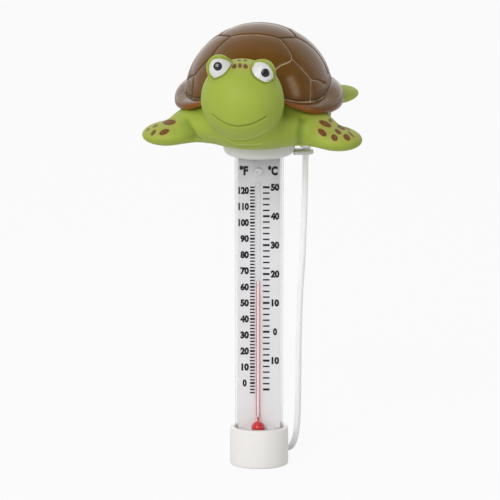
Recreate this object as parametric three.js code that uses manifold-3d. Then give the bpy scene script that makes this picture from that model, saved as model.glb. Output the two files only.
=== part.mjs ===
// Floating pool thermometer: a clear tube with a scale card and a spirit thermometer inside, a weighted
// white cap at its foot, a collar with a tether ear at its head, and a hollow turtle float on the collar.
// Millimetres, +Z up, origin at the centre of the cap's flat underside, the scale facing -Y.
import * as THREE from 'three';
import Module from 'manifold-3d';
import { mergeVertices } from 'three/addons/utils/BufferGeometryUtils.js';

const wasm = await Module();
wasm.setup();

// ---- driving dimensions, mm ----
const GAP = 0.3;
const ROUND = 32;

const CAP_R = 14.0;
const CAP_H = 18.6;
const CAP_FLOOR = 2.2;
const CAP_BORE_R = 11.85;

const TUBE_R_LOW = 11.5;
const TUBE_R_TOP = 11.8;
const TUBE_WALL = 0.9;
const TUBE_BOTTOM = CAP_FLOOR + GAP;
const TUBE_TOP = 171.8;

const COLLAR_BOTTOM = 151.9;
const COLLAR_TOP = 159.2;
const COLLAR_R = 17.3;
const PLUG_R = 13.9;
const PLUG_TOP = 178;
const SOCKET_R = 12.1;
const EAR_X = 22.3;
const EAR_R = 3.8;
const EAR_LOW = 152.2;
const EAR_HIGH = 154.0;
const EYELET_R = 1.85;

const CARD_HALF = 10.15;
const CARD_THICK = 0.7;
const CARD_LOW = 13.2;
const CARD_HIGH = 166.5;
const RIVET = { x: -0.3, z: 143.3, headR: 2.1, shankR: 0.9, headH: 0.8 };

const BULB = { x: -0.5, y: -4.2, z: 18.3, r: 3.4 };
const STEM_Y = -2.4;
const STEM_R = 1.35;
const BORE_R = 0.95;
const STEM_LOW = 22.6;
const STEM_TOP = 138.6;
const BORE_TOP = 137.4;
const LIQUID_R = 0.82;
const LEVEL_Z = 89.9;
const TIP_H = 1.6;

const SEAT_R = 10.2;
const SEAT_LOW = 11.5;
const SEAT_HIGH = 16.4;
const SEAT_RIM_HIGH = 17.9;
const SEAT_RIM_R = 7.8;
const BALLAST_R = 9.9;
const BALLAST_LOW = 2.6;
const BALLAST_HIGH = 11.1;

const FLOAT_YAW = -9 * Math.PI / 180;
const WALL = 2.2;
const DOME = { z: 181.3, half: 35.5, high: 34.3, stretch: 1.1 };
const BRIM_R = 40.5;
const BRIM_LOW = 175.4;
const BELLY_LOW = 159.5;
const BODY_RIM = 184;
const HEAD = { x: -0.8, y: -47, z: 189, r: 19.8 };
const HEAD_ROLL = 4.5 * Math.PI / 180;
const EYE = { x: 10.7, y: -6, z: 14.6, r: 6.2 };

const CORD_R = 1.5;
const KNOT = { x: EAR_X, z: 156.8, r: 2.9, half: 2.2 };
const HANK = { y0: 18, y1: 78, half: 8.2, low: 0.1, high: 12.7 };

// ---- shape helpers ----
function weld(geometry) {
  const bare = geometry.index ? geometry.toNonIndexed() : geometry.clone();
  bare.deleteAttribute('normal');
  bare.deleteAttribute('uv');
  return mergeVertices(bare, 1e-4);
}

function signedVolume(points, triangles) {
  let total = 0;
  for (let i = 0; i < triangles.length; i += 3) {
    const [a, b, c] = [0, 1, 2].map((k) => new THREE.Vector3().fromArray(points, 3 * triangles[i + k]));
    total += a.dot(b.cross(c)) / 6;
  }
  return total;
}

// A closed geometry as a solid that can be joined and cut; its faces are turned outward.
function solid(geometry) {
  const welded = weld(geometry);
  const points = new Float32Array(welded.attributes.position.array);
  const triangles = [];
  const index = welded.index.array;
  for (let i = 0; i < index.length; i += 3) {
    const [a, b, c] = [index[i], index[i + 1], index[i + 2]];
    if (a !== b && b !== c && c !== a) triangles.push(a, b, c);
  }
  if (signedVolume(points, triangles) < 0) {
    for (let i = 0; i < triangles.length; i += 3) {
      [triangles[i + 1], triangles[i + 2]] = [triangles[i + 2], triangles[i + 1]];
    }
  }
  const mesh = new wasm.Mesh({ numProp: 3, vertProperties: points, triVerts: new Uint32Array(triangles) });
  mesh.merge();
  return new wasm.Manifold(mesh);
}

function geometryOf(shape) {
  const mesh = shape.getMesh();
  const geometry = new THREE.BufferGeometry();
  const points = [];
  for (let i = 0; i < mesh.vertProperties.length; i += mesh.numProp) {
    points.push(mesh.vertProperties[i], mesh.vertProperties[i + 1], mesh.vertProperties[i + 2]);
  }
  geometry.setAttribute('position', new THREE.Float32BufferAttribute(points, 3));
  geometry.setIndex([...mesh.triVerts]);
  geometry.computeVertexNormals();
  return geometry;
}

function joined(...shapes) {
  return shapes.reduce((whole, shape) => whole.add(shape));
}

// A turned piece: [radius, height] pairs of a closed or axis-to-axis outline.
function turned(outline, segments = ROUND) {
  const geometry = new THREE.LatheGeometry(outline.map(([r, z]) => new THREE.Vector2(r, z)), segments);
  return geometry.rotateX(Math.PI / 2);
}

function ring(outline, segments = ROUND) {
  return turned([...outline, outline[0]], segments);
}

function disc(r, z0, z1, x = 0, y = 0, segments = ROUND) {
  const geometry = new THREE.CylinderGeometry(r, r, z1 - z0, segments);
  return solid(geometry.rotateX(Math.PI / 2).translate(x, y, (z0 + z1) / 2));
}

function box(x0, x1, y0, y1, z0, z1) {
  const geometry = new THREE.BoxGeometry(x1 - x0, y1 - y0, z1 - z0);
  return solid(geometry.translate((x0 + x1) / 2, (y0 + y1) / 2, (z0 + z1) / 2));
}

// An ellipsoid with half-axes [a, b, c]; turns are radians about X, then Y, then Z.
function egg(centre, half, turns = [0, 0, 0], detail = 16) {
  const geometry = new THREE.SphereGeometry(1, detail, Math.round(detail * 0.6));
  geometry.rotateX(Math.PI / 2).scale(half[0], half[1], half[2]);
  geometry.rotateX(turns[0]).rotateY(turns[1]).rotateZ(turns[2]);
  return solid(geometry.translate(centre[0], centre[1], centre[2]));
}

function arc(count, from, to) {
  return Array.from({ length: count + 1 }, (_, i) => from + (to - from) * i / count);
}

// ---- group of named pieces ----
const thermometer = new THREE.Group();
thermometer.name = 'floating_pool_thermometer';

function piece(name, shape, colour, roughness, metalness = 0, opacity = 1) {
  const geometry = shape.isBufferGeometry ? shape : geometryOf(shape);
  const material = new THREE.MeshStandardMaterial({ color: colour, roughness, metalness });
  material.opacity = opacity;
  material.transparent = opacity < 1;
  const mesh = new THREE.Mesh(geometry, material);
  mesh.name = name;
  thermometer.add(mesh);
}

// ---- foot: cap, ballast and the soft seat of the glass bulb ----
const capOutline = [
  [0, 0], [CAP_R - 1.3, 0], [CAP_R - 0.4, 0.4], [CAP_R, 1.3], [CAP_R, CAP_H - 0.5], [CAP_R - 0.5, CAP_H],
  [CAP_BORE_R + 0.3, CAP_H], [CAP_BORE_R, CAP_H - 0.4], [CAP_BORE_R, CAP_FLOOR], [0, CAP_FLOOR],
];
piece('base_cap', solid(turned(capOutline)), 0xf2f0ea, 0.45);
piece('ballast_weight', disc(BALLAST_R, BALLAST_LOW, BALLAST_HIGH), 0x8b8f94, 0.5, 0.9);

const cardSlot = box(
  -CARD_HALF - GAP, CARD_HALF + GAP,
  -CARD_THICK / 2 - GAP, CARD_THICK / 2 + GAP,
  CARD_LOW - GAP, SEAT_RIM_HIGH + 1,
);
const bulbRoom = egg([BULB.x, BULB.y, BULB.z], [BULB.r + GAP, BULB.r + GAP, BULB.r + GAP]);
const seatWell = disc(SEAT_RIM_R, SEAT_HIGH, SEAT_RIM_HIGH + 1);
piece(
  'bulb_seat',
  disc(SEAT_R, SEAT_LOW, SEAT_RIM_HIGH).subtract(joined(cardSlot, bulbRoom, seatWell)),
  0xdedcd6, 0.9,
);

// ---- clear tube ----
const tubeOutline = [
  [TUBE_R_LOW, TUBE_BOTTOM], [TUBE_R_TOP, TUBE_TOP],
  [TUBE_R_TOP - TUBE_WALL, TUBE_TOP], [TUBE_R_LOW - TUBE_WALL, TUBE_BOTTOM],
];
piece('outer_tube', solid(ring(tubeOutline)), 0xeef2f4, 0.08, 0, 0.3);

// ---- collar: flange, plug that fills the float's neck, tube socket, ear for the tether ----
const collarOutline = [
  [SOCKET_R, COLLAR_BOTTOM], [14.4, COLLAR_BOTTOM], [16.1, 152.6], [17.0, 154], [COLLAR_R, 155.8],
  [COLLAR_R, COLLAR_TOP], [PLUG_R, COLLAR_TOP], [PLUG_R, 162.1], [PLUG_R + 0.9, 162.9],
  [PLUG_R + 0.6, 164.4], [PLUG_R, 165.6], [PLUG_R - 0.3, PLUG_TOP - 1.2], [PLUG_R - 1.5, PLUG_TOP],
  [0, PLUG_TOP], [0, TUBE_TOP + GAP], [SOCKET_R, TUBE_TOP + GAP],
];
const earBar = box(PLUG_R, EAR_X, -EAR_R, EAR_R, EAR_LOW, EAR_HIGH).add(
  disc(EAR_R, EAR_LOW, EAR_HIGH, EAR_X, 0, 24),
);
const eyelet = disc(EYELET_R, EAR_LOW - 1, EAR_HIGH + 1, EAR_X, 0, 16);
piece('float_collar', solid(ring(collarOutline)).add(earBar).subtract(eyelet), 0xd8d9d8, 0.4);

// ---- scale card, its rivet and the hanger that centres its head in the tube ----
const rivetHole = solid(
  new THREE.CylinderGeometry(RIVET.shankR + GAP, RIVET.shankR + GAP, 4, 16).translate(RIVET.x, 0, RIVET.z),
);
const card = box(-CARD_HALF, CARD_HALF, -CARD_THICK / 2, CARD_THICK / 2, CARD_LOW, CARD_HIGH);
piece('scale_card', card.subtract(rivetHole), 0xd6d8db, 0.5, 0, 0.8);

const face = CARD_THICK / 2 + GAP;
const rivetOutline = [
  [0, -face - RIVET.headH], [RIVET.headR - 0.5, -face - RIVET.headH], [RIVET.headR, -face - 0.3],
  [RIVET.headR, -face], [RIVET.shankR, -face], [RIVET.shankR, face], [RIVET.headR, face],
  [RIVET.headR, face + 0.5], [0, face + 0.5],
];
piece(
  'card_rivet',
  solid(turned(rivetOutline, 20).rotateX(-Math.PI / 2).translate(RIVET.x, 0, RIVET.z)),
  0xe8e8e6, 0.3,
);

const hangerSlot = box(
  -CARD_HALF - GAP, CARD_HALF + GAP, -CARD_THICK / 2 - GAP, CARD_THICK / 2 + GAP, 160, CARD_HIGH + GAP,
);
piece('card_hanger', disc(10.4, 164.2, 168.6).subtract(hangerSlot), 0xe6e6e2, 0.6);

// ---- glass thermometer: bulb, kinked neck and stem, with the red spirit inside ----
const NECK = [
  new THREE.Vector3(BULB.x, BULB.y, BULB.z),
  new THREE.Vector3(BULB.x, BULB.y + 0.3, BULB.z + 2.9),
  new THREE.Vector3(BULB.x, STEM_Y - 0.5, STEM_LOW - 0.4),
  new THREE.Vector3(BULB.x, STEM_Y, STEM_LOW + 1.6),
];

function circle(r, sides) {
  const points = arc(sides, 0, 2 * Math.PI).slice(0, -1);
  return new THREE.Shape(points.map((a) => new THREE.Vector2(r * Math.cos(a), r * Math.sin(a))));
}

function along(points, r, sides, steps) {
  const path = new THREE.CatmullRomCurve3(points, false, 'centripetal');
  return solid(new THREE.ExtrudeGeometry(circle(r, sides), { steps, extrudePath: path, bevelEnabled: false }));
}

const stem = disc(STEM_R, STEM_LOW + 1.2, STEM_TOP, BULB.x, STEM_Y, 16);
const neck = along(NECK, STEM_R - 0.02, 12, 6);
const bulbGlass = egg([BULB.x, BULB.y, BULB.z], [BULB.r, BULB.r, BULB.r]);
const bore = disc(BORE_R, STEM_LOW + 1.5, BORE_TOP, BULB.x, STEM_Y, 16);
const neckBore = along(NECK, BORE_R - 0.02, 12, 6);
const bulbHollow = egg([BULB.x, BULB.y, BULB.z], [BULB.r - 0.5, BULB.r - 0.5, BULB.r - 0.5]);
const fillHole = disc(0.25, BORE_TOP - 1, STEM_TOP + 1, BULB.x, STEM_Y, 8);
piece(
  'glass_stem',
  joined(stem, neck, bulbGlass).subtract(joined(bore, neckBore, bulbHollow, fillHole)),
  0xf4f8fa, 0.05, 0, 0.3,
);
const bulbSpirit = egg([BULB.x, BULB.y, BULB.z], [BULB.r - 0.8, BULB.r - 0.8, BULB.r - 0.8]);
piece('spirit_bulb', bulbSpirit, 0xc4161c, 0.15);
piece(
  'spirit_column',
  disc(LIQUID_R, STEM_LOW + 2, LEVEL_Z - TIP_H - 0.1, BULB.x, STEM_Y, 12),
  0xc4161c, 0.15,
);
piece('spirit_tip', disc(LIQUID_R, LEVEL_Z - TIP_H, LEVEL_Z, BULB.x, STEM_Y, 12), 0xc4161c, 0.15);

// ---- turtle float: everything below is shaped facing -Y, then turned a little on the collar ----
function onFloat(shape) {
  return geometryOf(shape).rotateZ(FLOAT_YAW);
}

function onHead([x, y, z]) {
  const p = new THREE.Vector3(x, y, z).applyAxisAngle(new THREE.Vector3(0, 1, 0), HEAD_ROLL);
  return [HEAD.x + p.x, HEAD.y + p.y, HEAD.z + p.z];
}

function pair(make) {
  return joined(make(-1), make(1));
}

// Head, eye mounds, shoulders, flippers and tail; a positive margin gives the room they need.
function limbs(margin) {
  const grown = (half) => half.map((h) => h + margin);
  const head = egg([HEAD.x, HEAD.y, HEAD.z], grown([HEAD.r, HEAD.r, HEAD.r]), [0, 0, 0], 20);
  const mounds = pair((s) => egg(onHead([s * EYE.x, EYE.y, EYE.z]), grown([EYE.r, EYE.r, EYE.r]), [0, 0, 0], 14));
  const shoulder = egg([0, -24, 171.6], grown([31, 16.6, 10.8]), [0, 0, 0], 16);
  const throat = egg([0, -36, 173.4], grown([17, 12, 10.8]), [0, 0, 0], 12);
  const front = pair((s) => egg([s * 39.8, -21.3, 165.3], grown([13.4, 12, 5.8]), [0, s * 0.08, s * -0.09], 16));
  const frontRoot = pair((s) => egg([s * 27, -19, 169.8], grown([13, 12.5, 8.2]), [0, 0, 0], 12));
  const rear = pair((s) => egg([s * 30.4, 38.8, 173.3], grown([13.2, 7.8, 4.2]), [0, 0, s * 0.77], 14));
  const tail = egg([0, 45, 169], grown([5, 9, 3.6]), [-0.2, 0, 0], 10);
  return joined(head, mounds, shoulder, throat, front, frontRoot, rear, tail);
}

const bellyOutline = [
  [0, BELLY_LOW], [20, BELLY_LOW], [26, 161], [31, 164.4], [34, 169], [35, BRIM_LOW - GAP],
  [32.7, BRIM_LOW - GAP], [32.5, BODY_RIM], [0, BODY_RIM],
];
const hollowOutline = [
  [0, BELLY_LOW + WALL], [19.5, BELLY_LOW + WALL], [24.8, 163.1], [29, 166], [30.4, 171], [30.3, 206], [0, 206],
];
const stretched = (outline, segments) => solid(turned(outline, segments).scale(1, DOME.stretch, 1));
const eyeCentre = (s, forward) => onHead([s * EYE.x, EYE.y - forward, EYE.z + 0.1]);
const eyeTurn = (s) => [0.35, HEAD_ROLL, s * 0.12];
const eyeball = (s, margin) => egg(eyeCentre(s, 4.1), [5.3, 2.9, 5].map((h) => h + margin), eyeTurn(s), 14);
const pupil = (s, margin) => egg(eyeCentre(s, 6.9), [2, 0.75, 2].map((h) => h + margin), eyeTurn(s), 10);

const headHollow = egg([HEAD.x, HEAD.y, HEAD.z], [17.6, 17.6, 17.6], [0, 0, 0], 12);
const neckHollow = egg([0, -32, 176], [14.5, 14, 10.5], [0, 0, 0], 12);
const neckHole = disc(PLUG_R + GAP, BELLY_LOW - 1, BELLY_LOW + WALL + 1);
const hollow = joined(stretched(hollowOutline, 24), headHollow, neckHollow, neckHole);
const sockets = pair((s) => eyeball(s, GAP).add(pupil(s, GAP)));
const body = joined(stretched(bellyOutline, 28), limbs(0)).subtract(hollow).subtract(sockets);
piece('turtle_body', onFloat(body), 0xa3b74b, 0.6);

const domeRow = (half, high, z, a) => [half * Math.cos(a), z + high * Math.sin(a)];
const shellOutline = [
  ...arc(8, Math.PI / 2, 0.218).map((a) => domeRow(DOME.half, DOME.high, DOME.z, a)),
  [36.3, 187.1], [38.6, 184.6], [40, 182.8], [BRIM_R, 181], [40.3, 179], [39.5, 177], [38, BRIM_LOW],
  [33.2, BRIM_LOW],
  ...arc(7, 0, Math.PI / 2).map((a) => domeRow(DOME.half - WALL, DOME.high - WALL, DOME.z, a)),
];
shellOutline[0][0] = 0;
shellOutline[shellOutline.length - 1][0] = 0;
const neckArch = egg([0, -46, 170], [34, 32, 16.5], [0, 0, 0], 20);
const shell = stretched(shellOutline, 36).subtract(limbs(GAP)).subtract(neckArch);
piece('turtle_shell', onFloat(shell), 0x6b4423, 0.25);

for (const [side, s] of [['left', -1], ['right', 1]]) {
  piece(`eye_${side}`, onFloat(eyeball(s, 0).subtract(pupil(s, GAP))), 0xf5f5f0, 0.15);
  piece(`pupil_${side}`, onFloat(pupil(s, 0)), 0x0b0b0b, 0.1);
}

// ---- tether: stopper knot over the ear, cord down to the ground, and the rest tied in a hank behind ----
piece('tether_knot', egg([KNOT.x, 0, KNOT.z], [KNOT.r, KNOT.r, KNOT.half], [0, 0, 0], 16), 0xf4f4f2, 0.85);

const CORD_ROUTE = [
  [EAR_X, 0, KNOT.z - KNOT.half - GAP], [22.2, 0, 148], [21.7, 0.3, 126], [20.8, 1, 102], [19.6, 2.2, 82],
  [19, 4, 60], [18.8, 7, 40], [18.6, 11, 24], [17.6, 16, 10.5], [15.4, 22, 3.6], [12.4, 29, 1.9], [9.9, 36, 1.7],
];
piece(
  'tether_cord',
  along(CORD_ROUTE.map((p) => new THREE.Vector3(...p)), CORD_R, 8, 34),
  0xf4f4f2, 0.85,
);

// The tied hank: round-ended outline, a waist where the tie holds it.
const hankMid = (HANK.y0 + HANK.y1) / 2;
function hankOutline(margin) {
  const shape = new THREE.Shape();
  const r = HANK.half + margin;
  const waist = HANK.half - 1.6 + margin;
  shape.absarc(0, HANK.y1 - HANK.half, r, 0, Math.PI, false);
  shape.lineTo(-waist, hankMid);
  shape.absarc(0, HANK.y0 + HANK.half, r, Math.PI, 2 * Math.PI, false);
  shape.lineTo(waist, hankMid);
  shape.closePath();
  return shape;
}
const hankBody = solid(
  new THREE.ExtrudeGeometry(hankOutline(0), { depth: HANK.high - HANK.low, bevelEnabled: false, curveSegments: 10 })
    .translate(0, 0, HANK.low),
);
const tieRoom = box(-20, 20, hankMid - 1.9, hankMid + 1.9, -1, 20);
const tieCore = box(-5.2, 5.2, hankMid - 3, hankMid + 3, 1.9, HANK.high - 1.9);
piece('tether_hank', hankBody.subtract(tieRoom.subtract(tieCore)), 0xf4f4f2, 0.85);
const tieBand = box(-6.9, 6.9, hankMid - 1.5, hankMid + 1.5, 0.2, HANK.high - 0.1)
  .subtract(box(-5.5, 5.5, hankMid - 2, hankMid + 2, 1.6, HANK.high - 1.6));
piece('hank_tie', tieBand, 0xf4f4f2, 0.85);

export default thermometer;
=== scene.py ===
import math

import bmesh
import bpy
import numpy as np
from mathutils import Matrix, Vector


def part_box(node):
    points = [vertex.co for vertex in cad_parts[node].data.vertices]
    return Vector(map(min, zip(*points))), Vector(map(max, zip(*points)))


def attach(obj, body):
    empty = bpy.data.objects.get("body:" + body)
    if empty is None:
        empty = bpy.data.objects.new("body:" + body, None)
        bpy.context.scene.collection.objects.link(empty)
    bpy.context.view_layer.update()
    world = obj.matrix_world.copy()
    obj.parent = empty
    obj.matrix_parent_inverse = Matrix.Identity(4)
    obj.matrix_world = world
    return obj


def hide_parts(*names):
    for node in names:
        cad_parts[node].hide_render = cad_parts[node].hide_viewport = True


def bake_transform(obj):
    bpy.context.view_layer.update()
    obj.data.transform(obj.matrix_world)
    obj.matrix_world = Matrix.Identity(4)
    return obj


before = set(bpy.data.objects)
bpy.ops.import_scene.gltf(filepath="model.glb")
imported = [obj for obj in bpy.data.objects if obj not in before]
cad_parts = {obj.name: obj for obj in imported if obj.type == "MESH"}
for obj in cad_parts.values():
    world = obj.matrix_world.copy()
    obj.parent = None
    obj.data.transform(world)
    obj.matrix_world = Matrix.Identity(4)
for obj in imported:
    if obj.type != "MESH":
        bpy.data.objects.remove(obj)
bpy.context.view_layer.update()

# Floating pool thermometer. Shapes are worked out in millimetres and turned into metres as each mesh is made.
MM = 0.001

ROOT, FLOAT, LEVEL = "thermometer", "turtle_float", "spirit_level"


# The view: the way from the object to the camera, and what is up in it.
ELEVATION = math.radians(12)
FRONT = np.array((0.0, -math.cos(ELEVATION), math.sin(ELEVATION)))
FRONT_UP = np.array((0.0, math.sin(ELEVATION), math.cos(ELEVATION)))
CAMERA_DISTANCE, CAMERA_TARGET, WIDTH_SEEN, SENSOR = 9.0, (-0.0044, 0.0, 0.1048), 0.240, 36.0


# ---------------------------------------------------------------- stage
def in_scene(name, data):
    made = bpy.data.objects.new(name, data)
    bpy.context.scene.collection.objects.link(made)
    return made


def aimed(obj, place, target):
    obj.location = place
    obj.rotation_euler = (Vector(target) - Vector(place)).to_track_quat("-Z", "Y").to_euler()


def camera():
    data = bpy.data.cameras.new("camera")
    data.sensor_width = SENSOR
    data.lens = SENSOR * CAMERA_DISTANCE / WIDTH_SEEN
    data.clip_start, data.clip_end = 0.1, 20.0
    made = in_scene("camera", data)
    aimed(made, Vector(CAMERA_TARGET) + Vector(FRONT) * CAMERA_DISTANCE, CAMERA_TARGET)
    bpy.context.scene.camera = made


camera()


def feed(tree, sockets, values):
    """Each value goes into its socket: another node's output as a link, a number or a colour as it is."""
    for socket, value in zip(sockets, values):
        if isinstance(value, bpy.types.NodeSocket):
            tree.links.new(value, socket)
        else:
            socket.default_value = (*value, 1) if socket.type == "RGBA" else value


def node(tree, kind, **values):
    """A new node. Each value is for the input of that name, or else it is one of the node's settings."""
    made = tree.nodes.new(kind)
    for key, value in values.items():
        name = key.replace("_", " ")
        if name in made.inputs:
            feed(tree, [made.inputs[name]], [value])
        else:
            setattr(made, key, value)
    return made


def ranged(tree, value, low, high, **others):
    """A value from 0 to 1 turned into one from low to high."""
    return node(tree, "ShaderNodeMapRange", Value=value, To_Min=low, To_Max=high, **others).outputs[0]


class Look:
    """One material: a Principled shader and the procedural nodes that feed it."""

    def __init__(self, name, colour, roughness, **sockets):
        self.material = bpy.data.materials.new(name)
        self.material.use_nodes = True
        self.tree = self.material.node_tree
        self.shader = self.tree.nodes["Principled BSDF"]
        self.into(Base_Color=colour, Roughness=roughness, **sockets)
        self.place = self.node("ShaderNodeTexCoord").outputs["Object"]

    def node(self, kind, **values):
        return node(self.tree, kind, **values)

    def into(self, **values):
        for key, value in values.items():
            feed(self.tree, [self.shader.inputs[key.replace("_", " ")]], [value])

    def noise(self, scale, detail=2.0):
        return self.node("ShaderNodeTexNoise", Vector=self.place, Scale=scale, Detail=detail).outputs["Fac"]

    def ramp(self, value, *stops):
        """A value turned into a colour or a grey, by stops of a place and a colour or a grey."""
        made = self.node("ShaderNodeValToRGB", Fac=value)
        while len(made.color_ramp.elements) < len(stops):
            made.color_ramp.elements.new(0.5)
        for element, (at, colour) in zip(made.color_ramp.elements, stops):
            element.position = at
            element.color = (*colour, 1) if isinstance(colour, tuple) else (colour, colour, colour, 1)
        return made.outputs["Color"]

    def drift(self, scale, detail=2.0, high=0.7):
        """A slow change from 0 to 1."""
        return self.ramp(self.noise(scale, detail), (0.3, 0.0), (high, 1.0))

    def mix(self, amount, a, b):
        made = self.node("ShaderNodeMix", data_type="RGBA")
        feed(self.tree, (made.inputs[0], made.inputs[6], made.inputs[7]), (amount, a, b))
        return made.outputs[2]

    def math(self, operation, a, b=0.0):
        made = self.node("ShaderNodeMath", operation=operation)
        feed(self.tree, made.inputs, (a, b))
        return made.outputs[0]

    def times(self, a, b):
        return self.math("MULTIPLY", a, b)

    def attribute(self, name):
        return self.node("ShaderNodeAttribute", attribute_name=name).outputs["Fac"]

    def colour(self, value):
        self.into(Base_Color=value)

    def rough(self, value, low, high):
        self.into(Roughness=ranged(self.tree, value, low, high))

    def bump(self, value, strength, distance=0.0001):
        made = self.node("ShaderNodeBump", Strength=strength, Distance=distance, Height=value)
        self.into(Normal=made.outputs["Normal"])

    def surface(self, amount, first, second):
        """The material becomes a mix of two shader nodes."""
        made = self.node("ShaderNodeMixShader")
        feed(self.tree, made.inputs, (amount, first.outputs[0], second.outputs[0]))
        self.tree.links.new(made.outputs[0], self.tree.nodes["Material Output"].inputs["Surface"])


def area_light(name, place, target, size, power):
    data = bpy.data.lights.new(name, "AREA")
    data.shape = "RECTANGLE"
    data.size, data.size_y = size
    data.energy = power
    lamp = in_scene(name, data)
    aimed(lamp, place, target)
    return lamp


WORLD_FRONT, WORLD_BACK, PALE, KEY_POWER, STRIP_POWER = 0.33, 1.3, 0.985, 27.0, 9.0
FLOOR_HALF, FLOOR_GREY, FLOOR_GLOW = 4.0, (0.75, 0.75, 0.75), 0.93


def studio():
    """A white sweep behind the object, a dimmer room in front of it, one large soft lamp at the upper left,
    and a warm strip at the right that shows only in gloss."""
    scene = bpy.context.scene
    scene.view_settings.view_transform = "Standard"
    scene.world = bpy.data.worlds.new("studio")
    scene.world.use_nodes = True
    tree = scene.world.node_tree
    axes = node(tree, "ShaderNodeSeparateXYZ", Vector=node(tree, "ShaderNodeTexCoord").outputs["Generated"])
    room = ranged(tree, axes.outputs["Y"], WORLD_FRONT, WORLD_BACK, From_Min=-0.25, From_Max=0.75,
                  interpolation_type="SMOOTHSTEP")
    strength = ranged(tree, node(tree, "ShaderNodeLightPath").outputs["Is Camera Ray"], room, PALE)
    background = tree.nodes["Background"].inputs
    feed(tree, (background["Color"], background["Strength"]), ((1.0, 1.0, 1.0), strength))
    area_light("key", (-0.66, -1.66, 1.17), (0, 0, 0.12), (1.1, 1.1), KEY_POWER)
    strip = area_light("gloss_strip", (1.75, -0.78, 0.80), (0.0165, -0.032, 0.19), (0.42, 1.25), STRIP_POWER)
    strip.data.color = (1.0, 0.84, 0.68)
    strip.visible_diffuse = False

    mesh = bpy.data.meshes.new("floor")
    corners = [(x * FLOOR_HALF, y * FLOOR_HALF, 0) for x, y in ((-1, -1), (1, -1), (1, 1), (-1, 1))]
    mesh.from_pydata(corners, [], [(0, 1, 2, 3)])
    look = Look("floor", FLOOR_GREY, 0.9, Specular_IOR_Level=0.0)
    seen = look.node("ShaderNodeLightPath").outputs["Is Camera Ray"]
    look.surface(look.times(seen, FLOOR_GLOW), look.shader, look.node("ShaderNodeEmission", Strength=PALE))
    mesh.materials.append(look.material)
    in_scene("floor", mesh)


studio()


# ---------------------------------------------------------------- mesh helpers
def facing_out(obj):
    mesh = bmesh.new()
    mesh.from_mesh(obj.data)
    bmesh.ops.recalc_face_normals(mesh, faces=mesh.faces)
    if mesh.calc_volume(signed=True) < 0:
        bmesh.ops.reverse_faces(mesh, faces=mesh.faces)
    mesh.to_mesh(obj.data)
    mesh.free()


def piece(name, vertices, faces, body, material, slot, replaced=(), smooth=True, outward=True):
    """A named object from vertices in millimetres and faces. It rides on a body, unless body is None."""
    mesh = bpy.data.meshes.new(name)
    mesh.from_pydata((np.asarray(vertices, float) * MM).tolist(), [],
                     [tuple(int(i) for i in f) for f in faces])
    mesh.validate()
    mesh.update()
    mesh.polygons.foreach_set("use_smooth", [smooth] * len(mesh.polygons))
    mesh.materials.append(material)
    made = in_scene(name, mesh)
    if outward:
        facing_out(made)
    if body:
        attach(made, body)
    if replaced:
        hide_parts(*replaced)
    return made


def add_attributes(obj, **attributes):
    for name, values in attributes.items():
        made = obj.data.attributes.new(name, "FLOAT", "POINT")
        made.data.foreach_set("value", np.asarray(values, np.float32))


def grid_faces(rows, columns, joined=False):
    """Quads between closed rows of vertices; joined closes the last row onto the first."""
    faces = []
    for r in range(rows if joined else rows - 1):
        low, high = r * columns, (r + 1) % rows * columns
        for c in range(columns):
            d = (c + 1) % columns
            faces.append((low + c, low + d, high + d, high + c))
    return faces


def end_fans(rows, columns):
    """Fans that close a grid at its first and last row, from the two vertices that follow the grid."""
    count, last = rows * columns, (rows - 1) * columns
    near = [(count, (k + 1) % columns, k) for k in range(columns)]
    return near + [(count + 1, last + k, last + (k + 1) % columns) for k in range(columns)]


def bell(x, width):
    """1 at 0, falling off to either side over a width."""
    return np.exp(-((x / width) ** 2))


def steps_of(line):
    return np.linalg.norm(np.diff(line, axis=0), axis=1)


def along_of(line):
    """How far along a line each of its points is."""
    return np.append(0, np.cumsum(steps_of(line)))


def lathe(outline, segments=96, closed=False):
    """[radius, height] pairs turned about Z. A radius of 0 ends in one point."""
    vertices, rings = [], []
    for r, z in outline:
        angles = [2 * math.pi * k / segments for k in range(segments if r > 0 else 1)]
        rings.append([len(vertices) + k for k in range(len(angles))])
        vertices += [(r * math.cos(a), r * math.sin(a), z) for a in angles]
    if closed:
        rings.append(rings[0])
    faces = []
    for low, high in zip(rings, rings[1:]):
        for k in range(segments):
            d = (k + 1) % segments
            corners = [low[k % len(low)], low[d % len(low)], high[d % len(high)], high[k % len(high)]]
            corners = [c for i, c in enumerate(corners) if c not in corners[:i]]
            if len(corners) > 2:
                faces.append(corners)
    return np.array(vertices, float), faces


def rounded(outline, radius, steps=4):
    """Outline corners eased with small arcs; a point (r, z, own_radius) uses its own radius, 0 keeps it."""
    points = [np.array(p[:2], float) for p in outline]
    own = [p[2] if len(p) > 2 else radius for p in outline]
    out = [tuple(points[0])]
    for i in range(1, len(points) - 1):
        a, b, c = points[i - 1], points[i], points[i + 1]
        reach = min(own[i], 0.45 * np.linalg.norm(a - b), 0.45 * np.linalg.norm(c - b))
        if reach < 1e-6:
            out.append(tuple(b))
            continue
        p = b + (a - b) / np.linalg.norm(a - b) * reach
        q = b + (c - b) / np.linalg.norm(c - b) * reach
        for t in np.linspace(0, 1, steps + 1):
            out.append(tuple((1 - t) ** 2 * p + 2 * t * (1 - t) * b + t ** 2 * q))
    out.append(tuple(points[-1]))
    return out


def side_ways(line):
    """Two directions square to a line at each of its points, carried along it without twist."""
    tangents = np.gradient(line, axis=0)
    tangents /= np.linalg.norm(tangents, axis=1)[:, None]
    side = np.cross(tangents[0], (0.0, 1.0, 0.0))
    if np.linalg.norm(side) < 0.1:
        side = np.cross(tangents[0], (1.0, 0.0, 0.0))
    sides = [side / np.linalg.norm(side)]
    for t in tangents[1:]:
        s = sides[-1] - t * (sides[-1] @ t)
        sides.append(s / np.linalg.norm(s))
    sides = np.array(sides)
    return sides, np.cross(tangents, sides)


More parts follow.
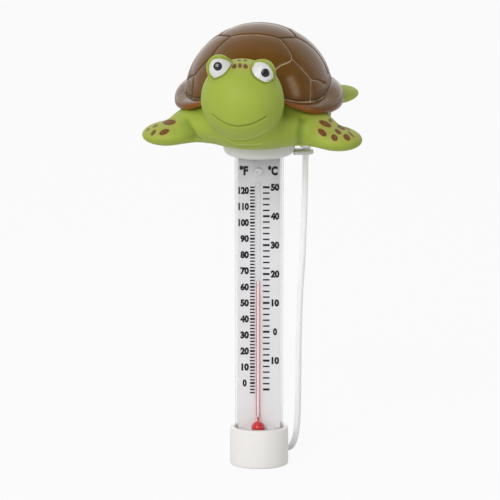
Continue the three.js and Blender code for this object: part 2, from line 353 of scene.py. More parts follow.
def tube(line, radius, sides=16):
    """A tube along a line; radius is one number or one for each point, or rows of one for each side."""
    line = np.asarray(line, float)
    u, v = side_ways(line)
    a = (np.arange(sides) / sides * 2 * math.pi)[None, :, None]
    radius = np.asarray(radius, float)
    if radius.ndim < 2:
        radius = np.broadcast_to(np.broadcast_to(radius, (len(line),))[:, None], (len(line), sides))
    rings = line[:, None] + radius[..., None] * (np.cos(a) * u[:, None] + np.sin(a) * v[:, None])
    vertices = np.vstack([rings.reshape(-1, 3), line[:1], line[-1:]])
    return vertices, grid_faces(len(line), sides) + end_fans(len(line), sides)


def resampled(line, step):
    along = along_of(line)
    t = np.linspace(0, along[-1], int(round(along[-1] / step)) + 1)
    return np.stack([np.interp(t, along, line[:, k]) for k in range(3)], 1)


def smooth_curve(points, per=12):
    """A centripetal Catmull-Rom curve through the points."""
    points = np.asarray(points, float)
    padded = np.vstack([2 * points[0] - points[1], points, 2 * points[-1] - points[-2]])
    out = []
    for i in range(1, len(padded) - 2):
        p = padded[i - 1 : i + 3]
        k = np.append(0, np.cumsum(np.sqrt(steps_of(p))))
        t = np.linspace(k[1], k[2], per, endpoint=False)[:, None]
        a = [((k[j + 1] - t) * p[j] + (t - k[j]) * p[j + 1]) / (k[j + 1] - k[j]) for j in range(3)]
        b = [((k[j + 2] - t) * a[j] + (t - k[j]) * a[j + 1]) / (k[j + 2] - k[j]) for j in range(2)]
        out.append(((k[2] - t) * b[0] + (t - k[1]) * b[1]) / (k[2] - k[1]))
    return np.vstack(out + [padded[-2:-1]])


def box_mesh(x0, x1, y0, y1, z0, z1):
    v = [(x, y, z) for x in (x0, x1) for y in (y0, y1) for z in (z0, z1)]
    f = [(0, 1, 3, 2), (4, 6, 7, 5), (0, 4, 5, 1), (2, 3, 7, 6), (0, 2, 6, 4), (1, 5, 7, 3)]
    return np.array(v, float), f


def merged(parts):
    vertices, faces, start = [], [], 0
    for v, f in parts:
        vertices.append(np.asarray(v, float))
        faces += [tuple(i + start for i in face) for face in f]
        start += len(v)
    return np.vstack(vertices), faces


def moulded(name, colour, roughness, tone=0.06, grain=900.0, **sockets):
    """Moulded plastic: slow tone change, fine moulding texture in gloss and bump."""
    look = Look(name, colour, roughness, **sockets)
    look.colour(look.mix(look.drift(28.0), tuple(c * (1 - tone) for c in colour), colour))
    fine = look.noise(grain)
    look.rough(fine, roughness * 0.88, min(1.0, roughness * 1.12))
    look.bump(fine, 0.05)
    return look.material


# ---------------------------------------------------------------- turtle: distance fields
# Fields are worked out in the float's own frame, facing -Y in millimetres; to_world turns it onto the collar.
YAW = math.radians(-9.0)
DOME_Z, DOME_HALF, DOME_HIGH, STRETCH = 181.3, 35.5, 34.3, 1.1
HEAD = np.array((-0.8, -47.0, 189.0))
HEAD_R = 19.6
EYE_MOUNDS = ((-10.1, -6.0, 15.5), (10.7, -4.7, 13.6))
BELLY_LOW = 159.5
BODY_RIM = 184.0
PLUG_ROOM_R, PLUG_ROOM_TOP = 14.2, 178.3


def turn(x=0.0, y=0.0, z=0.0):
    cx, sx, cy, sy, cz, sz = math.cos(x), math.sin(x), math.cos(y), math.sin(y), math.cos(z), math.sin(z)
    about_x = np.array([[1, 0, 0], [0, cx, -sx], [0, sx, cx]])
    about_y = np.array([[cy, 0, sy], [0, 1, 0], [-sy, 0, cy]])
    about_z = np.array([[cz, -sz, 0], [sz, cz, 0], [0, 0, 1]])
    return about_z @ about_y @ about_x


def to_world(p):
    return np.asarray(p, float) @ turn(z=YAW).T


def to_float(p):
    return np.asarray(p, float) @ turn(z=YAW)


def egg(p, centre, half, turns=(0, 0, 0)):
    q = (p - np.array(centre, p.dtype)) @ turn(*turns).astype(p.dtype)
    q /= np.array(half, p.dtype)
    near = np.sqrt(np.einsum("ij,ij->i", q, q))
    q /= np.array(half, p.dtype)
    steep = np.sqrt(np.einsum("ij,ij->i", q, q))
    return near * (near - 1) / np.maximum(steep, 1e-6)


def soft_min(a, b, k):
    h = np.maximum(k - np.abs(a - b), 0)
    return np.minimum(a, b) - h * h * (0.25 / k)


def outline_distance(q, polygon):
    """Signed distance of 2-D points from a closed polygon, negative inside."""
    best = np.full(len(q), 1e9)
    sign = np.ones(len(q), bool)
    for a, b in zip(polygon, np.roll(polygon, -1, 0)):
        e, w = b - a, q - a
        t = np.clip((w @ e) / (e @ e), 0, 1)
        best = np.minimum(best, ((w - t[:, None] * e) ** 2).sum(1))
        c0, c1, c2 = q[:, 1] >= a[1], q[:, 1] < b[1], e[0] * w[:, 1] > e[1] * w[:, 0]
        flip = (c0 & c1 & c2) | (~c0 & ~c1 & ~c2)
        sign ^= flip
    return np.sqrt(best) * np.where(sign, 1, -1)


BELLY = rounded(
    [(0, BELLY_LOW), (20, BELLY_LOW), (26, 161), (31, 164.4), (34, 169), (35, 175), (32.7, 175.6),
     (32.5, BODY_RIM), (0, BODY_RIM)],
    2.5,
)
TABLE_STEP = 0.4
TABLE_LOW = 150
TABLE_R, TABLE_Z = np.arange(0, 72, TABLE_STEP), np.arange(TABLE_LOW, 222, TABLE_STEP)
BELLY_TABLE = outline_distance(
    np.stack(np.meshgrid(TABLE_R, TABLE_Z, indexing="ij"), -1).reshape(-1, 2),
    np.array(BELLY + [(-60, BODY_RIM), (-60, BELLY_LOW)]),
).reshape(len(TABLE_R), len(TABLE_Z)).astype(np.float32)


def belly(p):
    r = np.sqrt(p[:, 0] ** 2 + (p[:, 1] / STRETCH) ** 2)
    i = np.clip(r / TABLE_STEP, 0, len(TABLE_R) - 1.001)
    j = np.clip((p[:, 2] - TABLE_LOW) / TABLE_STEP, 0, len(TABLE_Z) - 1.001)
    a, b = i.astype(int), j.astype(int)
    s, t = i - a, j - b
    low = BELLY_TABLE[a, b] * (1 - s) + BELLY_TABLE[a + 1, b] * s
    high = BELLY_TABLE[a, b + 1] * (1 - s) + BELLY_TABLE[a + 1, b + 1] * s
    return low * (1 - t) + high * t


def head_field(p):
    d = egg(p, HEAD, (HEAD_R, HEAD_R, HEAD_R - 1.1))
    d = soft_min(d, egg(p, HEAD + (0, 3.0, -4.0), (19.2, 18.5, 15.4)), 2.5)
    for x, y, z in EYE_MOUNDS:
        d = soft_min(d, egg(p, HEAD + (x, y, z), (6.2, 6.2, 6.2)), 3.0)
    return d


def base_field(p):
    """Belly, shoulders, throat, flippers and tail, with the head on them."""
    d = belly(p)
    d = soft_min(d, egg(p, (0, -24, 171.6), (31, 16.6, 10.8)), 5.0)
    d = soft_min(d, egg(p, (0, -36, 173.4), (17, 12, 10.8)), 5.0)
    for s in (-1, 1):
        d = soft_min(d, egg(p, (s * 27, -19, 169.8), (13, 12.5, 8.2)), 5.0)
        d = soft_min(d, egg(p, (s * 39.8, -21.3, 165.3), (13.4, 12, 5.8), (0, s * 0.08, s * -0.09)), 4.0)
        d = soft_min(d, egg(p, (s * 30.4, 38.8, 174.1), (13.2, 8.0, 4.5), (0, 0, s * 0.77)), 3.0)
    d = soft_min(d, egg(p, (0, 45, 169), (5, 9, 3.6), (-0.2, 0, 0)), 3.0)
    return soft_min(d, head_field(p), 4.0)


# ---------------------------------------------------------------- turtle: meshes from the fields
def slope(field, p, h=0.15):
    steps = np.eye(3) * h
    return np.stack([(field(p + s) - field(p - s)) / (2 * h) for s in steps], 1)


def normals(field, p):
    n = slope(field, p, 0.3)
    return n / np.linalg.norm(n, axis=1)[:, None]


def settled(field, p, rounds, reach):
    """Points moved onto the field's surface, apart from those that would move as far as reach."""
    moved = p
    for _ in range(rounds):
        g = slope(field, moved)
        moved = moved - g * (field(moved) / np.maximum((g * g).sum(1), 0.2))[:, None]
    return np.where((np.linalg.norm(moved - p, axis=1) < reach)[:, None], moved, p)


def onto(uv, field):
    """Points of the front view, across and up in millimetres, laid on the turtle's surface."""
    uv = np.asarray(uv, float)
    start = to_float(uv[:, :1] * np.array((1.0, 0, 0)) + uv[:, 1:2] * FRONT_UP + 120 * FRONT)
    ray = to_float(FRONT)
    t = np.zeros(len(uv))
    for _ in range(90):
        t += 0.8 * field(start - t[:, None] * ray)
    return start - t[:, None] * ray


def drawn_line(uv, step):
    return resampled(smooth_curve(onto(uv, base_field), 6), step)


def surface_net(field, low, high, step):
    """A mesh of quads where the field changes sign, with one vertex in each cell that it crosses."""
    axes = [np.arange(a, b + step, step) for a, b in zip(low, high)]
    grid = np.stack(np.meshgrid(*axes, indexing="ij"), -1).reshape(-1, 3).astype(np.float32)
    d = np.concatenate([field(part) for part in np.array_split(grid, 16)]).reshape([len(a) for a in axes])
    inside = d < 0
    corners = [np.array((i, j, k)) for i in (0, 1) for j in (0, 1) for k in (0, 1)]
    count = sum(inside[tuple(slice(o, n - 1 + o) for o,
                             n in zip(c, d.shape))].astype(np.int8) for c in corners)
    cells = np.argwhere((count > 0) & (count < 8))
    number = np.full(count.shape, -1)
    number[tuple(cells.T)] = np.arange(len(cells))
    total, crossings = np.zeros((len(cells), 3)), np.zeros(len(cells))
    for a in corners:
        for axis in np.flatnonzero(a == 0):
            b = a.copy()
            b[axis] = 1
            da, db = d[tuple((cells + a).T)], d[tuple((cells + b).T)]
            cross = (da < 0) != (db < 0)
            t = np.where(cross, da / np.where(cross, da - db, 1), 0)
            total += np.where(cross[:, None], a + t[:, None] * (b - a), 0)
            crossings += cross
    points = np.array(low) + (cells + total / crossings[:, None]) * step
    faces = []
    for axis in range(3):
        u, v = (axis + 1) % 3, (axis + 2) % 3
        change = -np.diff(inside.astype(int), axis=axis)
        edge = np.argwhere(change != 0)
        edge = edge[(edge[:, u] > 0) & (edge[:, v] > 0)]
        du, dv = np.eye(3, dtype=int)[[u, v]]
        quad = np.stack([number[tuple((edge - s).T)] for s in (0, du, du + dv, dv)], 1)
        out = change[tuple(edge.T)] < 0
        quad[out] = quad[out][:, ::-1]
        faces.append(quad)
    return points, np.vstack(faces)


def near_line(p, line):
    """Distance from each point to a polyline."""
    best = np.full(len(p), 1e9)
    for a, b in zip(line[:-1], line[1:]):
        e, w = b - a, p - a
        t = np.clip((w @ e) / max(e @ e, 1e-9), 0, 1)
        best = np.minimum(best, ((w - t[:, None] * e) ** 2).sum(1))
    return np.sqrt(best)


# ---------------------------------------------------------------- turtle: what is drawn on its front
# Outlines and lines are in the front view, across and up in millimetres.
EYE_WHITES = {
    "left": [(-22.1, 184.3), (-23.6, 186.1), (-24.2, 188.2), (-24.0, 190.7), (-23.2, 192.6), (-21.8, 193.7),
             (-19.1, 194.2), (-16.5, 193.7), (-14.6, 192.8), (-13.0, 191.6), (-14.2, 189.3), (-15.6, 187.4),
             (-17.4, 185.8), (-19.8, 184.6)],
    "right": [(-3.7, 188.9), (-3.2, 190.7), (-2.2, 191.9), (-0.6, 192.3), (1.2, 192.4), (3.6, 191.5),
              (5.7, 189.5),
              (6.9, 187.4), (7.1, 185.4), (6.7, 183.7), (5.3, 182.6), (2.9, 182.2), (0.5, 183.3),
              (-1.6, 184.7),
              (-3.0, 186.5)],
}
PUPILS, PUPIL_R = {"left": (-19.7, 189.9), "right": (2.8, 186.8)}, 1.96


def closed_curve(points, share=0.95, per=6):
    p = np.array([(*q, 0) for q in points], float)
    p = p.mean(0) + (p - p.mean(0)) * share
    looped = np.vstack([p[-2:], p, p[:3]])
    return smooth_curve(looped, per)[2 * per : (2 + len(p)) * per, :2]


# ---------------------------------------------------------------- turtle: body
SMILE = [(-22.3, 166.9), (-21.2, 165.9), (-18.8, 164.1), (-16.7, 162.9), (-14.6, 162.0), (-12.1, 161.4),
         (-9.7, 161.1),
         (-7.4, 161.4), (-5.1, 161.8), (-2.9, 162.5), (-0.6, 163.5), (1.5, 164.7), (3.3, 165.8)]
CHIN = [(-15.6, 157.1), (-13.5, 156.2), (-11.5, 155.7), (-8.4, 155.5), (-5.4, 155.7), (-2.5, 156.5),
        (1.8, 158.6), (4.0, 159.9)]
NECK_FOLD = [(-16.5, 155.6), (-14.7, 154.5), (-12.8, 153.6), (-11.1, 153.0), (-5.4, 152.8), (-1.4, 152.8),
             (0.5, 153.2)]
BELOW_LINE = (0, -0.85)
# Creases between body and flippers: line, depth and width.
VALLEYS = [([(-36.0, 163.5), (-33.6, 159.0), (-30.6, 155.2)], 2.1, 2.8),
           ([(20.8, 165.5), (19.9, 158.5), (19.2, 152.6)], 1.5, 2.1)]
# Painted spots: across, up, half-length, half-width, tilt in degrees, strength, 1 for a dark one.
SPOTS = [
    (31.5, 162.8, 3.13, 1.12, -24, 1, 0), (30.1, 158.6, 2.39, 1.27, -40, 1, 0),
    (35.9, 156.1, 1.72, 1.34, -50, 1, 0),
    (37.6, 159.0, 1.72, 0.82, -38, 1, 0), (39.2, 161.0, 2.09, 0.67, -28, 1, 0),
    (41.8, 156.3, 1.86, 1.19, -45, 1, 0),
    (43.9, 157.7, 2.24, 0.48, -40, 0.8, 1), (34.0, 164.4, 1.04, 0.82, -40, 0.8, 1),
    (-43.0, 163.6, 2.99, 1.26, 5, 1, 0), (-45.4, 158.9, 2.47, 1.15, 24, 1, 0),
    (-50.6, 158.6, 1.72, 0.86, 50, 0.9, 1),
    (-49.7, 161.8, 1.38, 0.57, 30, 0.8, 1), (-53.1, 160.2, 1.26, 0.46, 42, 0.75, 1),
    (42.0, 160.6, 1.9, 0.4, -32, 0.8, 1),
    (-9.6, 192.9, 1.0, 0.45, 4, 1, 1), (-6.7, 192.9, 1.0, 0.45, -6, 1, 1),
    (-11.9, 189.9, 1.2, 0.95, 50, 1, 0), (-9.2, 190.3, 1.15, 0.8, 85, 1, 0),
    (-6.5, 189.9, 1.25, 0.95, -50, 1, 0),
]


def seen_from_front(p):
    world = to_world(p)
    return np.stack([world[:, 0], world @ FRONT_UP], 1)


def body_field(p):
    """The base field, flat underneath and with room for the collar's plug."""
    d = np.maximum(base_field(p), BELLY_LOW - 0.05 - p[:, 2])
    plug = np.maximum(np.hypot(p[:, 0], p[:, 1]) - PLUG_ROOM_R, p[:, 2] - PLUG_ROOM_TOP)
    return np.maximum(d, -plug)


def refined(obj, wanted):
    """Splits the edges whose middles are wanted."""
    mesh = bmesh.new()
    mesh.from_mesh(obj.data)
    middles = np.array([(e.verts[0].co + e.verts[1].co) / 2 for e in mesh.edges]) / MM
    edges = [e for e, keep in zip(mesh.edges, wanted(middles)) if keep]
    bmesh.ops.subdivide_edges(mesh, edges=edges, cuts=1, use_grid_fill=True)
    mesh.to_mesh(obj.data)
    mesh.free()
    obj.data.polygons.foreach_set("use_smooth", [True] * len(obj.data.polygons))


def points_of(obj):
    out = np.empty(len(obj.data.vertices) * 3)
    obj.data.vertices.foreach_get("co", out)
    return to_float(out.reshape(-1, 3) / MM)


def set_points(obj, p):
    obj.data.vertices.foreach_set("co", (to_world(p) * MM).ravel())
    obj.data.update()


SPOT_BLUR = 0.25


def spot_cover(uv, spot):
    """How far a spot covers each point, and how far outside its rim the point is."""
    x, y, a, b, tilt = spot[:5]
    c, s = math.cos(math.radians(tilt)), math.sin(math.radians(tilt))
    du, dv = uv[:, 0] - x, uv[:, 1] - y
    q = np.stack([(du * c + dv * s) / a, (dv * c - du * s) / b], 1)
    r = np.linalg.norm(q, axis=1)
    away = (r - 1) * r * min(a, b) / np.maximum(np.linalg.norm(q / (a, b), axis=1) * min(a, b), 1e-6)
    return np.clip(0.5 - away / (2 * SPOT_BLUR), 0, 1), away


# No mouth line, eye or spot lies further back than these.
MOUTH_BACK, EYES_BACK, SPOTS_BACK = -40, -44, 8
EYE_R = 5.2


def near_detail(p, lines, reach):
    """Whether each point is close to the smile, the chin, the neck fold, a spot or the rim of an eye."""
    close = np.zeros(len(p), bool)
    some = p[:, 1] < MOUTH_BACK
    smile, chin, fold = (near_line(p[some], line) for line in lines[:3])
    close[some] = np.minimum(smile, np.minimum(chin, fold) + 0.6) < reach
    uv = seen_from_front(p)
    for spot in SPOTS:
        around = np.hypot(uv[:, 0] - spot[0], uv[:, 1] - spot[1]) < spot[2] + reach
        close |= around & (p[:, 1] < SPOTS_BACK)
    for outline in EYE_WHITES.values():
        x, y = np.mean(outline, 0)
        around = np.abs(np.hypot(uv[:, 0] - x, uv[:, 1] - y) - EYE_R) < reach
        close |= around & (p[:, 1] < EYES_BACK)
    return close


def lid_distance(p):
    away = np.full(len(p), 99.0)
    front = p[:, 1] < EYES_BACK
    for outline in EYE_WHITES.values():
        rim = closed_curve(outline, 1.05)
        to_rim = near_line(p[front], onto(np.vstack([rim, rim[:1]]), head_field))
        away[front] = np.minimum(away[front], to_rim)
    return away


def turtle_body(material):
    points, faces = surface_net(body_field, (-57, -70, 157), (57, 60, 215), 0.7)
    points = settled(base_field, points, 2, 0.5)
    body = piece("turtle_skin", to_world(points), faces, FLOAT, material, "body_green", ("turtle_body",),
                 outward=False)
    drawn = [SMILE, CHIN, NECK_FOLD, np.add(CHIN, BELOW_LINE), np.add(NECK_FOLD, BELOW_LINE)]
    lines = [drawn_line(line, 0.5) for line in drawn]
    for reach in ((2.6, 1.7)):
        refined(body, lambda middles: near_detail(to_float(middles), lines, reach))
        set_points(body, settled(base_field, points_of(body), 1, 0.3))

    p = points_of(body)
    normal = normals(base_field, p)
    to_smile, to_chin, to_fold, under_chin, under_fold = (near_line(p, line) for line in lines)
    to_under = np.minimum(under_chin, under_fold)
    dent = 0.55 * bell(to_smile, 0.62) + 0.5 * bell(to_under, 0.6)
    bead = np.maximum(0.45 * bell(to_chin, 0.6), 0.2 * bell(to_fold, 0.6))
    dent -= 0.08 * bell(to_smile - 1.9, 1.1) + bead
    corner = np.linalg.norm(p - lines[0][0], axis=1)
    dent += 0.18 * bell(corner, 0.8)
    to_lid = lid_distance(p)
    dent += 0.38 * bell(to_lid, 0.5) - 0.25 * bell(to_lid - 1.3, 0.7)
    # Painted shade: how deep each point sits in a dip, and below in the creases between body and flippers; it
    # darkens the skin's colour as shade would.
    hollow = 1 - np.clip(base_field(p + normal * 5) / 5, 0, 1)
    for line, depth, width in VALLEYS:
        away = near_line(p, drawn_line(line, 0.7))
        inside = bell(away, width) * (p[:, 2] > BELLY_LOW + 0.7)
        dent += depth * inside
        hollow = np.maximum(hollow, 0.85 * inside)
    set_points(body, p - normal * dent[:, None])

    uv = seen_from_front(p)
    facing = np.clip((normal @ to_float(FRONT) - 0.05) / 0.2, 0, 1)
    brown, dark, around, edge = np.zeros((4, len(p)))
    for spot in SPOTS:
        cover, away = spot_cover(uv, spot)
        if spot[6]:
            dark = np.maximum(dark, cover * spot[5])
        else:
            brown = np.maximum(brown, cover * spot[5])
            edge = np.maximum(edge, 0.75 * bell(away + 0.22, 0.3))
        around = np.maximum(around, np.exp(-(np.maximum(away, 0) / 1.3) ** 2) * (0.9 if spot[2] > 1 else 0.6))
    brow = np.exp(-(((uv[:, 0] + 9.0) / 4.2) ** 2) - ((uv[:, 1] - 190.8) / 3.6) ** 2)
    on_top = (p[:, 1] < SPOTS_BACK) * facing
    add_attributes(body, brown=brown * on_top)
    add_attributes(body, dark=dark * on_top)
    add_attributes(body, edge=edge * on_top)
    add_attributes(body, ochre=np.clip(np.maximum(around, brow) * on_top, 0, 1))
    add_attributes(body, hollow=np.clip(hollow, 0, 1) * np.clip((24 - p[:, 1]) / 8, 0, 1))
    # Painted shade: dark lines along the smile groove, round the eye rims and under the chin and neck fold,
    # where these grooves would hold shade.
    thin = np.maximum(bell(to_smile, 0.5), 0.7 * bell(to_lid, 0.4))
    thin = np.maximum(thin, 0.55 * bell(to_under, 0.45))
    add_attributes(body, line=thin * facing)
    # Painted highlight: paler colour along the raised chin and neck-fold lines, and a paler rear to offset
    # the shade there.
    lit = np.maximum(bell(to_chin, 0.5), 0.75 * bell(to_fold, 0.45))
    add_attributes(body, ridge=np.maximum(lit, 0.3 * np.clip((p[:, 1] - 22) / 8, 0, 1)))


# ---------------------------------------------------------------- turtle: shell
SHELL_WALL, INNER_LIP_R = 2.2, 33.4
# Each groove: how strongly its pale tan line shows on the right and on the left, a line that is partly paint
# wear and partly a painted highlight, then its points, drawn for the right side. One that stays at x above 0
# is mirrored.
GROOVES = [
    (0.8, 0.8, [(-12.1, -12.9), (-6, -13.7), (0, -13.9), (6, -13.7), (12.1, -12.9)]),
    (1.0, 0.45, [(12.1, -12.9), (19.2, -20.9), (13.7, -28.6), (9.5, -34.5)]),
    (0.7, 0.45, [(19.2, -20.9), (24.2, -20.7), (28.45, -19.0), (30.6, -15.6), (32.8, -11.2), (33.6, -8.6)]),
    (1.0, 0.7, [(28.45, -19.0), (28.65, -20.5), (28.7, -21.6), (28.7, -22.3), (28.65, -23.1)]),
    (0.1, 0.1, [(12.1, -12.9), (18.4, -3.6), (14.1, 4.4), (17.5, 13.0), (12.5, 21.0), (14.5, 28.0),
                (9.0, 34.0)]),
    (0.1, 0.1, [(18.4, -3.6), (25.6, 0.3), (31.2, 0.8), (33.6, -0.2)]),
    (0.3, 0.3, [(-14.1, 4.4), (0, 5.2), (14.1, 4.4)]),
    (0.3, 0.3, [(-12.5, 21.0), (0, 21.8), (12.5, 21.0)]),
    (0.3, 0.3, [(17.5, 13.0), (24.0, 15.6), (31.0, 16.5)]),
    (0.3, 0.3, [(14.5, 28.0), (19.0, 30.5), (22.5, 31.5)]),
]


def dome_height(x, y):
    inside = np.maximum(1 - (x / DOME_HALF) ** 2 - (y / (DOME_HALF * STRETCH)) ** 2, 0)
    return DOME_Z + DOME_HIGH * np.sqrt(inside)


def round_table(angles, values, around, soften=4.0):
    """Values given by angle from the front, 0 to 180 degrees, mirrored and smoothed round the shell."""
    fine = np.arange(-180, 180, 1.0)
    table = np.interp(np.abs(fine), angles, values)
    reach = np.arange(-15, 16)
    weights = bell(reach, soften)
    smooth = sum(w * np.roll(table, int(k)) for k, w in zip(reach, weights)) / weights.sum()
    wrapped = (around + 180) % 360
    return np.interp(wrapped, np.append(fine + 180, 360), np.append(smooth, smooth[0]))


def lip_height(around):
    return round_table((0, 26, 34, 38, 50, 60, 73, 90, 180),
                       (186, 184.9, 181.8, 181, 177.9, 176.6, 175.8, 175.5, 175.5), around, 2.5)


def shell_grid(columns, dome_rows):
    """Rows of points from the top of the dome down to the brim, under it and up inside."""
    around = np.linspace(-180, 180, columns, endpoint=False)
    lip = lip_height(around)
    crease = round_table((0, 28, 42, 60, 75, 90, 110, 180),
                         (187.5, 186.3, 183.8, 182.7, 183.8, 186.6, 188.3, 188.7), around)
    edge_r = round_table((0, 28, 40, 50, 180), (37.0, 37.6, 39.4, 40.4, 40.4), around)
    edge_z = lip + 0.42 * (crease - lip)
    crease_a = np.arcsin((crease - DOME_Z) / DOME_HIGH)
    crease_r = DOME_HALF * np.cos(crease_a)
    rows = []
    for t in np.linspace(0.012, 1, dome_rows):
        a = math.pi / 2 + (crease_a - math.pi / 2) * t
        rows.append((DOME_HALF * np.cos(a), DOME_Z + DOME_HIGH * np.sin(a)))

    def bend(a, b, c, d, steps):
        for t in np.linspace(0, 1, steps + 1)[1:]:
            k = ((1 - t) ** 3, 3 * t * (1 - t) ** 2, 3 * t * t * (1 - t), t ** 3)
            rows.append(tuple(sum(w * p[i] for w, p in zip(k, (a, b, c, d))) for i in (0, 1)))

    drop = crease - edge_z
    bend((crease_r, crease), (crease_r + 0.35 * (edge_r - crease_r), crease - 0.25 * drop),
         (edge_r, edge_z + 0.6 * drop), (edge_r, edge_z), 16)
    outer = len(rows)
    bend((edge_r, edge_z), (edge_r, edge_z - 0.55 * (edge_z - lip)), (edge_r - 0.6, lip + 0.5),
         (edge_r - 2.2, lip), 10)
    bend((edge_r - 2.2, lip), (edge_r - 3, lip - 0.05), (INNER_LIP_R + 1.2, lip), (INNER_LIP_R, lip + 0.7), 6)
    inner_half, inner_high = DOME_HALF - SHELL_WALL, DOME_HIGH - SHELL_WALL
    start = np.arcsin(np.clip((lip + 0.7 - DOME_Z) / inner_high, 0, 0.9))
    for t in np.linspace(0.04, 0.985, 28):
        a = start + (math.pi / 2 - start) * t
        z = DOME_Z + inner_high * np.sin(a)
        rows.append((inner_half * np.cos(a), np.maximum(z, lip + 0.7 + t * 3)))
    r = np.array([row[0] * np.ones(columns) for row in rows])
    z = np.array([row[1] * np.ones(columns) for row in rows])
    phi = np.radians(around)
    p = np.stack([r * np.sin(phi), -r * np.cos(phi) * STRETCH, z], -1)
    return around, p, outer


def shell_lines(around, crease):
    """Every groove as a line on the dome, with how strongly the pale tan line beside it shows: partly paint
    wear, partly a painted highlight.
    """
    lines = []
    for worn_right, worn_left, groove in GROOVES:
        line = smooth_curve([(x, y, 0) for x, y in groove], 8)
        line[:, 2] = dome_height(line[:, 0], line[:, 1])
        lines.append((line, worn_right))
        if min(x for x, _ in groove) > 0:
            lines.append((line * (-1, 1, 1), worn_left))
    angles = np.arange(-180, 181, 3.0)
    height = round_table((0, 30, 42, 60, 70, 80, 90, 100, 110, 130, 180),
                         (185, 184.9, 183.4, 182.5, 184, 186, 188.4, 190.8, 192.6, 193, 193), angles)
    band_a = np.arcsin((height - DOME_Z) / DOME_HIGH)
    band_r = DOME_HALF * np.cos(band_a)
    band = np.stack([band_r * np.sin(np.radians(angles)), -STRETCH * band_r * np.cos(np.radians(angles)),
                     height], 1)
    for part in (band[angles <= -31], band[angles >= 31]):
        lines.append((part, 0.25))
    for sign in (-1, 1):
        for angle in (112, 132, 152, 172):
            k = int(np.argmin(np.abs(angles - sign * angle)))
            top = band[k]
            foot = top * (1.13, 1.13, 1) - (0, 0, height[k] - 179.5)
            lines.append((np.array([top, (top + foot) / 2 * (1.015, 1.015, 1), foot]), 0.35))
    for sign in (-1, 1):
        some = (sign * around > 27) & (sign * around < 72)
        lines.append((crease[some] + (0, 0, 0.1), 0.75 if sign > 0 else 0.2))
    return lines


def turtle_shell(material):
    columns, dome_rows = ((400, 132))
    around, p, outer = shell_grid(columns, dome_rows)
    flat = p.reshape(-1, 3)
    skin = np.arange(len(flat)) < outer * columns
    away, worn = np.full(len(flat), 99.0), np.zeros(len(flat))
    for line, amount in shell_lines(around, p[dome_rows - 1]):
        here = np.where(skin, 99.0, 0.0)
        here[skin] = near_line(flat[skin], line)
        worn = np.where(skin & (here < away), amount, worn)
        away[skin] = np.minimum(away[skin], here[skin])
    du = np.roll(p, -1, 1) - np.roll(p, 1, 1)
    dv = np.gradient(p, axis=0)
    normal = np.cross(dv.reshape(-1, 3), du.reshape(-1, 3))
    normal /= np.maximum(np.linalg.norm(normal, axis=1), 1e-9)[:, None]
    if (normal[columns * 40] @ (flat[columns * 40] - (0, 0, DOME_Z))) < 0:
        normal = -normal
    dent = np.where(skin, 0.5 * bell(away, 0.5) + 0.16 * bell(away, 3.0), 0)
    flat = flat - normal * dent[:, None]
    rows = len(p)
    flat = np.vstack([flat, flat[:columns].mean(0) + (0, 0, 0.02), flat[-columns:].mean(0)])
    faces = grid_faces(rows, columns) + end_fans(rows, columns)
    shell = piece("turtle_carapace", to_world(flat), faces, FLOAT, material,
                  "shell_brown", ("turtle_shell",), outward=False)
    add_attributes(shell, away=np.append(np.where(skin, np.minimum(away, 6.0), 6.0), (6, 6)))
    add_attributes(shell, worn=np.append(worn, (0, 0)))
    low = np.clip(1 - (p.reshape(-1, 3)[:, 2] - lip_height(np.repeat(around[None], rows, 0).ravel())) / 3.4,
                  0, 1) ** 0.7
    add_attributes(shell, low=np.append(low, (0, 0)))


def lens(name, outline, low, high, material, replaced, slot):
    """A thin crowned piece lying on the turtle's surface inside a closed outline of the front view."""
    centre = outline.mean(0)
    shares = [1, 0.97, 0.9, 0.78, 0.62, 0.45, 0.28, 0.12]
    ring = len(outline)
    uv = np.vstack([centre + (outline - centre) * s for s in shares] + [centre[None]])
    at = onto(uv, head_field)
    normal = normals(head_field, at)
    crown = np.concatenate([np.repeat([math.sqrt(1 - s ** 4) for s in shares], ring), [1.0]])
    top = at + normal * (low + (high - low) * (0.12 + 0.88 * crown))[:, None]
    foot = at + normal * low
    count = len(uv)
    faces = []
    for r in range(len(shares) - 1):
        for k in range(ring):
            d = (k + 1) % ring
            quad = (r * ring + k, r * ring + d, (r + 1) * ring + d, (r + 1) * ring + k)
            faces.append(quad)
            faces.append(tuple(count + i for i in quad[::-1]))
    inner = (len(shares) - 1) * ring
    for k in range(ring):
        d = (k + 1) % ring
        faces.append((inner + k, inner + d, count - 1))
        faces.append((count + inner + d, count + inner + k, 2 * count - 1))
        faces.append((d, k, count + k, count + d))
    piece(name, to_world(np.vstack([top, foot])), faces, FLOAT, material, slot, replaced)


def eyes(white, black):
    around = np.linspace(0, 2 * math.pi, 48, endpoint=False)
    for side, outline in EYE_WHITES.items():
        lens("eye_white_" + side, closed_curve(outline), 0.04, 0.34, white, ("eye_" + side,), "eye_white")
        x, y = PUPILS[side]
        disc = np.array([(x + PUPIL_R * math.cos(a), y + PUPIL_R * math.sin(a)) for a in around])
        lens("pupil_dot_" + side, disc, 0.36, 0.72, black, ("pupil_" + side,), "pupil_black")


# ---------------------------------------------------------------- foot, tube and collar
def low_high(name):
    low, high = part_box(name)
    return [v / MM for v in low], [v / MM for v in high]


CAP_BORE, CAP_FLOOR, CAP_RECESS = 11.85, 2.2, 0.35
TUBE_TAPER, TUBE_WALL, TUBE_WAIST = 0.3, 0.9, 60
COLLAR_TOP, COLLAR_R, PLUG_R, PLUG_TOP, SOCKET_R, SOCKET_TOP = 159.2, 17.3, 13.9, 178, 12.1, 172.1
EAR_START, EAR_LOW, EAR_HIGH, EAR_HALF, EYELET_R, EYELET_RIM = 16.3, 152.2, 154.0, 3.8, 1.85, 0.3


